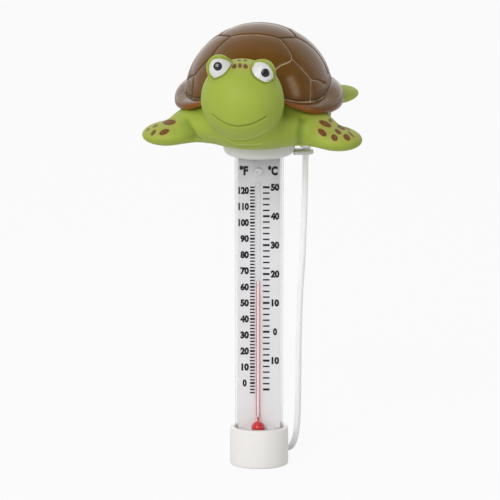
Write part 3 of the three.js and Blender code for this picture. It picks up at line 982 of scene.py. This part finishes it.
def base_cap(material):
    (_, _, z0), (r, _, z1) = low_high("base_cap")
    bore, floor = CAP_BORE, CAP_FLOOR
    outline = rounded([
        (0, z0 + CAP_RECESS, 0), (r - 2.9, z0 + CAP_RECESS, 0.4), (r - 2.5, z0, 0.4), (r, z0, 1.2),
        (r, z1 - 7, 0), (r - 0.1, z1, 0.9),
        (bore + 0.35, z1, 0.3), (bore, z1 - 0.5, 0.2), (bore, floor, 0.4), (0, floor, 0),
    ], 0.5, 5)
    piece("foot_cap", *lathe(outline), ROOT, material, "cap_white", ("base_cap",))


def tube_piece(material):
    (_, _, z0), (r, _, z1) = low_high("outer_tube")
    outside = [(r - TUBE_TAPER, z0), (r - TUBE_TAPER + 0.1, z0 + TUBE_WAIST), (r, z1)]
    outline = outside + [(radius - TUBE_WALL, z) for radius, z in outside[::-1]]
    made = piece("clear_tube", *lathe(outline, 128, True), ROOT, material, "tube_clear", ("outer_tube",))
    made.visible_shadow = False


def collar_piece(material):
    (_, _, z0), (ear_end, _, _) = low_high("float_collar")
    top, r, plug, socket = COLLAR_TOP, COLLAR_R, PLUG_R, SOCKET_R
    outline = rounded([
        (socket, z0, 0), (14.2, z0, 0.6), (16.0, z0 + 0.75, 1.2), (17.0, z0 + 2.2, 1.0), (r, z0 + 4.2, 0.8),
        (r, top - 0.35, 0.4),
        (r - 0.4, top, 0), (plug, top, 0.2), (plug, 162.1, 0.3), (plug + 0.28, 162.7, 0.3),
        (plug + 0.28, 163.6, 0.3),
        (plug, 164.4, 0.3), (plug - 0.1, PLUG_TOP - 1.2, 0.8), (plug - 1.3, PLUG_TOP, 0.3), (0, PLUG_TOP, 0),
    ], 0.4, 4)
    inner = [(0, SOCKET_TOP), (socket, SOCKET_TOP), (socket, z0 + 0.05)]
    piece("collar_ring", *lathe(outline + inner), ROOT, material, "collar_grey", ("float_collar",))
    ear(material, ear_end - EAR_HALF)


def ear(material, cx):
    """Flat ear with a round end and an eyelet with a raised rim, let into the collar."""
    start, low, high, half, rim = EAR_START, EAR_LOW, EAR_HIGH, EAR_HALF, EAR_HIGH + EYELET_RIM
    edge = []
    steps = 24
    for k in range(steps + 1):
        a = -math.pi / 2 + math.pi * k / steps
        edge.append((cx + half * math.cos(a), half * math.sin(a)))
    edge = [(start, -half - 0.6), (start + 2, -half - 0.1)] + edge + [(start + 2, half + 0.1),
                                                                      (start, half + 0.6)]
    angles = [math.atan2(y, x - cx) for x, y in edge]
    eyelet = [(cx + EYELET_R * math.cos(a), EYELET_R * math.sin(a)) for a in angles]
    profile = [  # share from the eyelet (0) to the edge (1), height
        (0.0, low + 0.25), (0.06, low), (0.93, low), (1.0, low + 0.3), (1.0, high - 0.35), (0.93, high),
        (0.42, high), (0.34, rim), (0.1, rim), (0.0, high + 0.05),
    ]
    vertices = []
    for share, z in profile:
        for (ex, ey), (hx, hy) in zip(edge, eyelet):
            if 0 < share < 0.5:
                reach = math.hypot(ex - hx, ey - hy)
                step = share * 2.0 / max(reach, 1e-6)
            else:
                step = share
            vertices.append((hx + (ex - hx) * step, hy + (ey - hy) * step, z))
    faces = grid_faces(len(profile), len(edge), joined=True)
    piece("collar_ear", vertices, faces, ROOT, material, "collar_grey")


# ---------------------------------------------------------------- scale card
def letters(text, height, width, left=None, right=None):
    """Text as a flat mesh facing -Y, with its foot at height 0, from its left end or up to its right end."""
    curve = bpy.data.curves.new("letters", "FONT")
    curve.body = text
    curve.resolution_u = 3
    curve.extrude = 0.02
    curve.offset = 0.065
    made = bpy.data.objects.new("letters", curve)
    bpy.context.scene.collection.objects.link(made)
    bpy.context.view_layer.update()
    mesh = bpy.data.meshes.new_from_object(made.evaluated_get(bpy.context.evaluated_depsgraph_get()))
    v = np.array([p.co for p in mesh.vertices])
    faces = [tuple(p.vertices) for p in mesh.polygons]
    bpy.data.objects.remove(made)
    bpy.data.curves.remove(curve)
    bpy.data.meshes.remove(mesh)
    v[:, 1] -= v[:, 1].min()
    tall = height / v[:, 1].max()
    v[:, 0] -= v[:, 0].min()
    x = v[:, 0] * (width / v[:, 0].max())
    x += left if left is not None else right - x.max()
    return np.stack([x, -v[:, 2], v[:, 1] * tall], 1), faces


ZERO_F_Z, PER_F, UNIT_HIGH = 39.5, 0.788, 4.8
DIGIT_HIGH, DIGIT_BELOW, LONG_TICK, SHORT_TICK, INK_THICK = 3.65, 1.82, 1.05, 0.72, 0.04


def scale_print(material):
    """Two printed scales: Fahrenheit on the left, Celsius on the right, in a thin layer on the card."""
    (_, front, _), _ = low_high("scale_card")
    y = front - 0.03
    parts = []

    def add(part, z):
        v, f = part
        depth = v[:, 1]
        v[:, 1] = y + (depth - depth.mean()) / np.ptp(depth) * INK_THICK
        v[:, 2] += z
        parts.append((v, f))

    def tick(x0, x1, z, thick):
        parts.append(box_mesh(x0, x1, y - INK_THICK / 2, y + INK_THICK / 2, z - thick / 2, z + thick / 2))

    for f in range(-6, 123, 2):
        tick(-4.4, -2.1, ZERO_F_Z + PER_F * f, LONG_TICK if f % 10 == 0 else SHORT_TICK)
    for f in range(0, 121, 10):
        text = str(f)
        right = -6.0 if f == 0 else -4.9
        wide = {"0": 2.0, "10": 3.65}.get(text, (4.15, 5.1)[len(text) - 2])
        add(letters(text, DIGIT_HIGH, right=right, width=wide), ZERO_F_Z + PER_F * f - DIGIT_BELOW)
    for c in range(-20, 51, 2):
        z = ZERO_F_Z + PER_F * (32 + 1.8 * c)
        tick(1.8, 5.0, z, LONG_TICK if c % 10 == 0 else SHORT_TICK)
    for c in range(-10, 51, 10):
        text = str(abs(c))
        z = ZERO_F_Z + PER_F * (32 + 1.8 * c)
        left, wide = {"0": (6.65, 2.0), "10": (5.95, 3.65)}.get(text, (5.55, 4.15))
        add(letters(text, DIGIT_HIGH, left=left, width=wide), z - DIGIT_BELOW)
    add(letters("°F", UNIT_HIGH, width=4.2, left=-9.5), 141.5)
    add(letters("°C", UNIT_HIGH, width=4.7, left=4.2), 141.4)
    v, f = merged(parts)
    piece("scale_print", v, f, ROOT, material, "card_plastic", smooth=False, outward=False)


def rivet(material):
    (x0, y0, z0), (x1, y1, z1) = low_high("card_rivet")
    r, x, z = (x1 - x0) / 2, (x0 + x1) / 2, (z0 + z1) / 2
    face = 0.37
    outline = rounded([
        (0, -y0 - 0.35, 0), (r * 0.45, -y0 - 0.35, 0.3), (r * 0.6, -y0, 0.2), (r * 0.85, -y0, 0.3),
        (r, -y0 - 0.4, 0.3),
        (r, face, 0), (0.9, face, 0), (0.9, -face, 0), (r, -face, 0.1), (r, -y1, 0.2), (0, -y1, 0),
    ], 0.2, 3)
    v, f = lathe(outline, 40)
    v = np.stack([v[:, 0] + x, -v[:, 2], v[:, 1] + z], 1)
    piece("card_boss", v, f, ROOT, material, "card_plastic", ("card_rivet",))


# ---------------------------------------------------------------- glass thermometer and spirit
BULB = np.array((-0.5, -4.2, 18.3))
STEM_Y, STEM_R, LIQUID_R = -2.4, 1.35, 0.97
STEM_TOP, BORE_TOP = 138.6, 137.4


def neck_line(top, low):
    bulb_part = [(BULB[0], BULB[1], z) for z in np.arange(low, 20.3, 0.35)]
    kink = [(BULB[0], BULB[1] + 0.25, 21.2), (BULB[0], STEM_Y - 0.75, 22.4), (BULB[0], STEM_Y - 0.1, 23.9),
            (BULB[0], STEM_Y, 25.5)]
    line = smooth_curve(bulb_part + kink, 5)
    rest = np.array([(BULB[0], STEM_Y, z) for z in np.linspace(26.5, top, 60)])
    return np.vstack([line, rest])


def bulb_radius(line, r, stem):
    below = np.clip(1 - ((line[:, 2] - BULB[2]) / r) ** 2, 0.0004, None)
    ball = r * np.sqrt(below)
    ball = np.where(line[:, 2] > BULB[2] + r, 0, ball)
    shoulder = stem + 0.9 * np.exp(-np.maximum(line[:, 2] - 20.4, 0) / 0.6)
    neck = np.where(line[:, 2] > BULB[2] + 0.5 * r, shoulder, 0)
    return np.maximum(ball, neck)


def glass(material):
    line = neck_line(BORE_TOP + 0.4, 14.95)
    outer_r = bulb_radius(line, 3.4, STEM_R)
    steps = np.linspace(0.15, 1, 8)
    high = STEM_TOP - BORE_TOP - 0.4
    dome = [(BULB[0], STEM_Y, BORE_TOP + 0.4 + high * math.sin(a * math.pi / 2)) for a in steps]
    dome_r = [STEM_R * math.cos(a * math.pi / 2 * 0.97) for a in steps]
    v, f = tube(np.vstack([line, dome]), np.append(outer_r, dome_r), 24)
    made = piece("glass_envelope", v, f, ROOT, material, "stem_glass", ("glass_stem",))
    made.visible_shadow = False


def across_of(v):
    """0 on the column's middle plane, 1 at its two sides."""
    out = v[:, :2] - (BULB[0], STEM_Y)
    return np.abs(out[:, 0]) / np.maximum(np.linalg.norm(out, axis=1), 1e-6)


def spirit_pieces(material, thread_material):
    fill_line = neck_line(28.0, 15.25)
    fill_line = fill_line[fill_line[:, 2] < 25.2]
    v, f = tube(fill_line, np.minimum(bulb_radius(fill_line, 3.1, 0.34), 3.1), 24)
    fill = piece("spirit_fill", v, f, ROOT, material, "spirit_red", ("spirit_bulb",))

    (_, _, tip_low), (_, _, tip_high) = low_high("spirit_tip")
    heights = np.append(np.arange(15.4, tip_low, 0.7), tip_low)
    widening = np.clip((heights - 21.4) / 3.8, 0, 1)
    v, f = tube([(BULB[0], STEM_Y, z) for z in heights],
                0.36 + (LIQUID_R - 0.36) * widening ** 2 * (3 - 2 * widening), 20)
    thread = piece("spirit_thread", v, f, None, thread_material, "spirit_red", ("spirit_column",))
    add_attributes(thread, across=across_of(v))
    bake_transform(thread)
    thread.visible_shadow = False

    top = [(0, tip_low - 0.2), (LIQUID_R, tip_low - 0.2), (LIQUID_R, tip_high - 0.45),
           (LIQUID_R * 0.86, tip_high - 0.18),
           (LIQUID_R * 0.5, tip_high - 0.03), (0, tip_high)]
    v, f = lathe(top, 20)
    v = v + (BULB[0], STEM_Y, 0)
    tip = piece("spirit_meniscus", v, f, LEVEL, thread_material, "spirit_red", ("spirit_tip",))
    add_attributes(tip, across=across_of(v))
    tip.visible_shadow = False


# ---------------------------------------------------------------- tether
CORD_D, CORD_LENGTH, CORD_SPRING = 3.0, 750.0, 0.06
CORD_ROUTE = [(22.3, 0, 154.3), (22.2, 0, 148), (21.7, 0.3, 126), (20.8, 1, 102), (19.6, 2.2, 82),
              (19, 4, 60), (18.8, 7, 40),
              (18.6, 11, 24), (17.6, 16, 10.5), (15.4, 22, 3.6), (12.4, 29, 1.9), (9.9, 36, 1.7)]
HANK_Y = (25.9, 70.1)
HANK_R, HANK_MID, HANK_START = 6.4, 48.0, 44
HANK_ROOM_X, HANK_ROOM_Y = 6.6, (19.6, 76.4)
CORD_STEP, CORD_WEIGHT, CORD_LOWEST, BRAID_RELIEF = 3.0, 0.0075, 1.55, 0.13
WAIST_Z, WAIST_HALF = 6.35, (4.4, 3.7)


def hank_loops(length):
    """The wound length, before it settles: round-ended turns, each one cord higher than the last."""
    straight = HANK_Y[1] - HANK_Y[0]
    turn_length = 2 * straight + 2 * math.pi * HANK_R
    points = []
    for s in np.arange(HANK_START - HANK_Y[0], HANK_START - HANK_Y[0] + length, 1.0):
        v = s % turn_length
        a = (v - straight) / HANK_R
        b = (v - 2 * straight) / HANK_R - math.pi
        if v < straight:
            x, y = HANK_R, HANK_Y[0] + v
        elif a < math.pi:
            x, y = HANK_R * math.cos(a), HANK_Y[1] + HANK_R * math.sin(a)
        elif b < 0:
            x, y = -HANK_R, HANK_Y[1] - (v - straight - math.pi * HANK_R)
        else:
            x, y = -HANK_R * math.cos(b), HANK_Y[0] - HANK_R * math.sin(b)
        points.append((x, y, 1.6 + 3.05 * (s - HANK_START + HANK_Y[0]) / turn_length))
    return np.array(points)


def settled_cord(rounds):
    """The whole cord: its free run stays as routed, the hank settles into turns that touch, uncrossed."""
    free = smooth_curve(CORD_ROUTE)
    free_length = steps_of(free).sum()
    line = resampled(np.vstack([free, hank_loops(CORD_LENGTH - free_length - 9)]), CORD_STEP)
    n = len(line)
    step = CORD_LENGTH / (n - 1)
    fixed = np.arange(n) < int((free_length - 14) / CORD_STEP)
    first = int(fixed.sum())
    wound = np.arange(n) >= first + 12
    i, j = np.triu_indices(n, 4)
    i, j = i[j >= first], j[j >= first]
    loose = (~fixed).astype(float)
    q = line.copy()

    def pull(k, m, error, direction):
        total = np.maximum(loose[k] + loose[m], 1e-9)
        q[k] += direction * (error * loose[k] / total)[:, None]
        q[m] -= direction * (error * loose[m] / total)[:, None]

    for _ in range(rounds * 4):
        q[~fixed, 2] -= CORD_WEIGHT
        gap = q[j] - q[i]
        distance = np.linalg.norm(gap, axis=1)
        hit = distance < CORD_D
        if hit.any():
            a, b = i[hit], j[hit]
            push = gap[hit] / np.maximum(distance[hit], 1e-6)[:, None] * (CORD_D - distance[hit])[:,
                                                                                                  None] * 0.5
            count, moved = np.ones(n), np.zeros_like(q)
            np.add.at(count, a, 1)
            np.add.at(count, b, 1)
            np.add.at(moved, a, -push * loose[a][:, None])
            np.add.at(moved, b, push * loose[b][:, None])
            q += moved / np.maximum(count - 1, 1)[:, None] * 0.9
        for start in (0, 1):
            k = np.arange(start, n - 1, 2)
            d = q[k + 1] - q[k]
            length = np.linalg.norm(d, axis=1)
            pull(k, k + 1, (length - step) / length, d)
        for span, least in ((2, 0.96 * 2 * step), (4, 0.87 * 4 * step)):
            for start in range(span):
                k = np.arange(start, n - span, span)
                d = q[k + span] - q[k]
                length = np.linalg.norm(d, axis=1)
                short = np.where(length < least, (length - least) / np.maximum(length, 1e-6), 0) * 0.5
                pull(k, k + span, short, d)
        curl = q[:-4] - 4 * q[1:-3] + 6 * q[2:-2] - 4 * q[3:-1] + q[4:]
        q[2:-2] -= CORD_SPRING * curl * loose[2:-2, None]
        q[wound, 0] = np.clip(q[wound, 0], -HANK_ROOM_X, HANK_ROOM_X)
        q[wound, 1] = np.clip(q[wound, 1], *HANK_ROOM_Y)
        squeeze = bell(q[:, 1] - HANK_MID, 5.0) * wound
        ex, ez = q[:, 0] / WAIST_HALF[0], (q[:, 2] - WAIST_Z) / WAIST_HALF[1]
        r = np.maximum(np.hypot(ex, ez), 1e-6)
        scale = np.where((r > 1) & (squeeze > 0.3), 1 - 0.35 * squeeze * (1 - 1 / r), 1)
        q[:, 0] *= scale
        q[:, 2] = WAIST_Z + (q[:, 2] - WAIST_Z) * scale
        q[~fixed, 2] = np.maximum(q[~fixed, 2], CORD_LOWEST)
        q = np.where(fixed[:, None], line, q)
    return q


def braid(line, radius, sides=16, strands=4, pitch=6.4, relief=BRAID_RELIEF):
    """A braided surface: two sets of strands winding both ways, each standing up where it passes over."""
    along = along_of(line)
    a = np.arange(sides) / sides * 2 * math.pi
    phase = 2 * math.pi * along[:, None] / pitch * strands / 2
    one = np.abs(np.cos(strands / 2 * a[None] + phase))
    two = np.abs(np.cos(strands / 2 * a[None] - phase))
    return radius - relief + relief * np.maximum(one, two) ** 1.2


def braid_gaps(radius):
    """0 on a strand, 1 in the gaps between, for each point of a braided tube and its two end points."""
    return np.append(np.clip((radius.max() - radius) / BRAID_RELIEF, 0, 1).ravel(), (0, 0))


def tether(material):
    line = settled_cord(300)
    line = smooth_curve(line, 6)
    line = resampled(line, 0.45)
    line[:, 2] = np.maximum(line[:, 2], CORD_D / 2 + 0.05)
    radius = braid(line, CORD_D / 2 + 0.02)
    tail = np.clip((np.arange(len(line))[::-1] + 1.2) / 3.0, 0, 1)[:, None] ** 0.5
    v, f = tube(line, radius * tail, 16)
    cord = piece("braided_tether", v, f, ROOT, material, "cord_white", ("tether_cord", "tether_hank"))
    add_attributes(cord, gap=braid_gaps(radius))

    knot = stopper_knot(material)
    tie = hank_tie(material, line)


def stopper_knot(material):
    (x0, _, z0), (x1, _, z1) = low_high("tether_knot")
    cx, mid = (x0 + x1) / 2, (z0 + z1) / 2
    thick = 1.15
    reach = (x1 - x0) / 2 - thick
    t = np.linspace(0, 1, 150)
    angle = 2 * math.pi * 2.35 * t
    r = reach * (1 - 0.35 * bell(t - 0.5, 0.09))
    z = (z0 + thick) + (z1 - z0 - 2 * thick) * t
    line = np.stack([cx + r * np.cos(angle), r * np.sin(angle), z], 1)
    a, b = np.array((cx, 0, z0 + 0.6)), np.array((cx + 0.2, 0.3, z1 - 0.75))
    core = resampled(np.array([a, (a + b) / 2, b]), 0.25)
    parts = [tube(line, braid(line, thick, 12, 4, 5.0, 0.1), 12),
             tube(core, braid(core, 1.35, 12, 4, 5.0, 0.1), 12)]
    v, f = merged(parts)
    made = piece("cord_knot", v, f, ROOT, material, "cord_white", ("tether_knot",))
    return made


def hank_tie(material, line):
    """Three turns of thin cord round the waist of the hank."""
    near = line[(np.abs(line[:, 1] - HANK_MID) < 2.2) & (np.arange(len(line)) > 400)]
    middle = np.array((near[:, 0].mean(), (near[:, 2].min() + near[:, 2].max()) / 2))
    thick = 0.5
    angles = np.linspace(0, 2 * math.pi * 3, 3 * 60 + 1)
    points = []
    for k, a in enumerate(angles):
        way = np.array((math.cos(a), math.sin(a)))
        flat = near[:, [0, 2]] - middle
        reach = 0.0
        for spread in np.linspace(-0.9, 0.9, 25):
            d = np.array((math.cos(a + spread), math.sin(a + spread)))
            support = (flat @ d).max() + CORD_D / 2 + thick
            reach = support / math.cos(spread) if spread == -0.9 else min(reach,
                                                                          support / max(math.cos(spread),
                                                                                        0.3))
        at = middle + way * reach
        points.append((at[0], HANK_MID - 1.0 + 2.0 * k / (len(angles) - 1), max(at[1], thick + 0.12)))
    path = resampled(smooth_curve(points[::3], 4), 0.3)
    v, f = tube(path, braid(path, thick, 10, 4, 3.0, 0.05), 10)
    made = piece("tie_wrap", v, f, ROOT, material, "cord_white", ("hank_tie",))
    return made


# ---------------------------------------------------------------- looks of each material
def mottled(name, colour, roughness, noise, first, second, **sockets):
    """A plain surface whose colour drifts between two, each given with its place on the noise's ramp."""
    look = Look(name, colour, roughness, **sockets)
    look.colour(look.ramp(look.noise(*noise), first, second))
    return look.material


def cord_look():
    look = Look("cord_white", (0.95, 0.95, 0.94), 0.8, Sheen_Weight=0.5, Subsurface_Weight=0.6)
    look.shader.inputs["Subsurface Radius"].default_value = (0.003, 0.003, 0.003)
    fibres = look.noise(2600.0, 3.0)
    strand = look.ramp(fibres, (0.25, (0.93, 0.93, 0.925)), (0.6, (0.99, 0.99, 0.985)))
    # Painted shade: the gaps between the braid's strands are darker grey, as shade would make them.
    look.colour(look.mix(look.times(look.attribute("gap"), 0.32), strand, (0.42, 0.42, 0.41)))
    look.bump(fibres, 0.25)
    return look.material


def steel_look():
    look = Look("ballast_steel", (0.4, 0.41, 0.42), 0.4, Metallic=0.9)
    look.rough(look.noise(220.0, 4.0), 0.3, 0.55)
    return look.material


def clear(name, colour, roughness, middle, edge, power, tint):
    """Clear wall: nearly all transparent face on, more of the glossy surface at its edges."""
    look = Look(name, colour, roughness)
    fine = look.noise(18.0)
    look.rough(fine, roughness * 0.7, roughness * 1.5)
    look.colour(look.ramp(fine, (0.3, tuple(c * 0.97 for c in colour)), (0.7, colour)))
    facing = look.node("ShaderNodeLayerWeight", Blend=0.5).outputs["Facing"]
    amount = ranged(look.tree, look.math("POWER", facing, power), middle, edge)
    look.surface(amount, look.node("ShaderNodeBsdfTransparent", Color=tint), look.shader)
    return look.material


def along_axis(look, axis):
    return look.node("ShaderNodeSeparateXYZ", Vector=look.place).outputs[axis]


def away_from(look, axis, at):
    """Distance from one plane, in millimetres, as a socket."""
    place = along_axis(look, axis)
    return look.times(look.math("ABSOLUTE", look.math("SUBTRACT", place, at * MM)), 1 / MM)


def thread_look():
    """The spirit in its bore: painted dark red at both sides and a painted pale highlight strip down its
    middle, standing in for the light the glass stem bends and reflects.
    """
    look = Look("spirit_thread", (0.5, 0.02, 0.03), 0.3, IOR=1.36)
    wave = look.times(look.math("SUBTRACT", look.noise(260.0), 0.5), 0.1)
    across = look.math("ADD", look.attribute("across"), wave)
    # Painted shade at the thread's sides and a painted highlight down its middle.
    look.colour(look.ramp(across, (0.42, (0.93, 0.77, 0.76)), (0.62, (0.90, 0.58, 0.58)),
                          (0.8, (0.30, 0.045, 0.08)),
                          (0.97, (0.22, 0.03, 0.06))))
    return look.material


def card_look():
    """Pale grey plastic card, with painted shade darkening it towards its top under the turtle, painted light
    making it warmer and paler towards its foot, and a painted red glow beside the stem as from the spirit.
    """
    look = Look("card_plastic", (0.6, 0.6, 0.62), 0.5)
    # Painted shade and light: the card darker towards its top, where the turtle shades it, and paler and
    # warmer towards its foot.
    height = look.times(away_from(look, "Z", 0.0), 1 / 160)
    tone = look.ramp(height, (0.1, (0.88, 0.85, 0.855)), (0.35, (0.81, 0.80, 0.815)),
                     (0.7, (0.765, 0.755, 0.77)), (0.93, (0.64, 0.63, 0.63)))
    slow = look.drift(24.0)
    tone = look.mix(look.times(slow, 0.12), tone, (0.86, 0.86, 0.87))
    # Painted light: a faint red glow on the card's front beside the stem, on its lower part, as if light from
    # the spirit fell on it.
    wide = look.ramp(look.times(away_from(look, "X", BULB[0]), 0.25), (0.2, 1.0), (0.9, 0.0))
    below = look.ramp(height, (0.5, 1.0), (0.56, 0.0))
    glow = look.times(look.math("LESS_THAN", along_axis(look, "Y"), 0.0), look.times(wide, below))
    tone = look.mix(look.times(glow, 0.4), tone, (0.92, 0.62, 0.60))
    look.colour(tone)
    fine = look.noise(900.0)
    look.rough(fine, 0.42, 0.58)
    look.bump(fine, 0.05)
    return look.material


def skin_look():
    """Soft vinyl: yellow-green with sprayed ochre round the brown spots, painted shade in its dips and
    creases and along the smile, eye rims and under the chin, and a painted highlight along the raised chin
    and neck-fold lines and on the rear.
    """
    look = Look("body_green", (0.36, 0.46, 0.08), 0.55, Subsurface_Weight=0.08, Specular_IOR_Level=0.3)
    look.shader.inputs["Subsurface Radius"].default_value = (0.003, 0.004, 0.001)
    slow = look.drift(22.0, 3.0)
    green = look.mix(slow, (0.307, 0.386, 0.043), (0.352, 0.437, 0.052))
    # Painted shade: darker green in the dips and creases.
    green = look.mix(look.times(look.attribute("hollow"), 0.62), green, (0.12, 0.20, 0.010))
    green = look.mix(look.times(look.attribute("ochre"), 0.7), green, (0.43, 0.36, 0.085))
    speckle = look.ramp(look.noise(900.0), (0.35, 0.87), (0.65, 1.0))
    green = look.mix(look.times(look.attribute("brown"), speckle), green, (0.185, 0.040, 0.006))
    green = look.mix(look.attribute("edge"), green, (0.055, 0.035, 0.004))
    green = look.mix(look.times(look.attribute("dark"), speckle), green, (0.06, 0.045, 0.01))
    # Painted shade along the smile, eye-rim and under-chin grooves.
    green = look.mix(look.times(look.attribute("line"), 0.62), green, (0.09, 0.11, 0.012))
    # Painted highlight on the chin and neck-fold lines and on the rear.
    green = look.mix(look.times(look.attribute("ridge"), 0.75), green, (0.55, 0.64, 0.19))
    look.colour(green)
    fine = look.noise(1100.0, 3.0)
    look.rough(fine, 0.48, 0.64)
    look.bump(fine, 0.12, 0.00012)
    return look.material


def shell_look():
    """Glossy brown shell with painted shade darkening the grooves and beside them, and a pale tan line in the
    grooves that is partly paint wear and partly a painted highlight.
    """
    look = Look("shell_brown", (0.14, 0.06, 0.022), 0.19, Specular_IOR_Level=0.23)
    slow = look.drift(26.0, 4.0, 0.72)
    brown = look.mix(slow, (0.100, 0.040, 0.003), (0.150, 0.063, 0.005))
    streaks = look.noise(140.0, 4.0)
    brown = look.mix(look.ramp(streaks, (0.45, 0.0), (0.75, 0.2)), brown, (0.20, 0.09, 0.016))
    away = look.attribute("away")
    # Painted shade: darker brown in and beside each groove, where shade falls; the same mask makes the gloss
    # rougher there.
    dark = look.ramp(look.times(away, 0.3), (0.08, 0.9), (0.17, 0.5), (0.28, 0.0))
    brown = look.mix(dark, brown, (0.045, 0.018, 0.004))
    brown = look.mix(look.attribute("low"), brown, (0.27, 0.085, 0.014))
    # The pale tan groove line: partly paint wear, partly a painted highlight.
    rubbed_and_lit = look.times(look.ramp(look.noise(120.0, 3.0), (0.38, 0.45), (0.58, 1.0)), look.attribute("worn"))
    line = look.ramp(look.times(away, 0.5), (0.11, 1.0), (0.19, 0.0))
    brown = look.mix(look.times(line, rubbed_and_lit), brown, (0.55, 0.38, 0.20))
    look.colour(brown)
    fine = look.noise(700.0)
    gloss = look.math("ADD", look.times(fine, 0.08), 0.15)
    look.into(Roughness=look.math("ADD", gloss, look.times(dark, 0.45)))
    look.bump(fine, 0.04)
    return look.material


# ---------------------------------------------------------------- everything together
tether(cord_look())
turtle_body(skin_look())
turtle_shell(shell_look())
eyes(mottled("eye_white", (0.77, 0.77, 0.76), 0.34, (60.0,), (0.3, (0.63, 0.63, 0.62)),
             (0.7, (0.68, 0.68, 0.675)),
             Specular_IOR_Level=0.35),
     mottled("pupil_black", (0.012, 0.012, 0.013), 0.16, (90.0,), (0.3, (0.008, 0.008, 0.009)),
             (0.7, (0.02, 0.02, 0.022))))
base_cap(moulded("cap_white", (0.88, 0.855, 0.835), 0.42, 0.04, Subsurface_Weight=0.15,
                 Subsurface_Radius=(0.004, 0.004, 0.004)))
collar_piece(moulded("collar_grey", (0.74, 0.735, 0.71), 0.38, 0.05))
tube_piece(clear("tube_clear", (0.80, 0.81, 0.82), 0.06, 0.012, 0.75, 7.0, (0.985, 0.987, 0.99)))
scale_print(mottled("scale_ink", (0.01, 0.01, 0.011), 0.7, (700.0, 3.0), (0.3, (0.005, 0.005, 0.006)),
                    (0.75, (0.012, 0.012, 0.014)), Specular_IOR_Level=0.2))
rivet(moulded("boss_white", (0.74, 0.735, 0.73), 0.3, 0.03))
glass(clear("stem_glass", (0.62, 0.62, 0.64), 0.04, 0.02, 0.55, 3.0, (0.99, 0.99, 0.99)))
spirit_pieces(mottled("spirit_red", (0.6, 0.015, 0.02), 0.12, (300.0,), (0.3, (0.56, 0.010, 0.014)),
                      (0.7, (0.70, 0.03, 0.03)), IOR=1.36), thread_look())
KEPT_LOOKS = {
    "scale_card": card_look(),
    "card_hanger": moulded("hanger_white", (0.8, 0.8, 0.78), 0.5, 0.04),
    "bulb_seat": moulded("seat_rubber", (0.7, 0.69, 0.66), 0.85, 0.08, 300.0),
    "ballast_weight": steel_look(),
}
for name, material in KEPT_LOOKS.items():
    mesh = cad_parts[name].data
    mesh.materials.clear()
    mesh.materials.append(material)
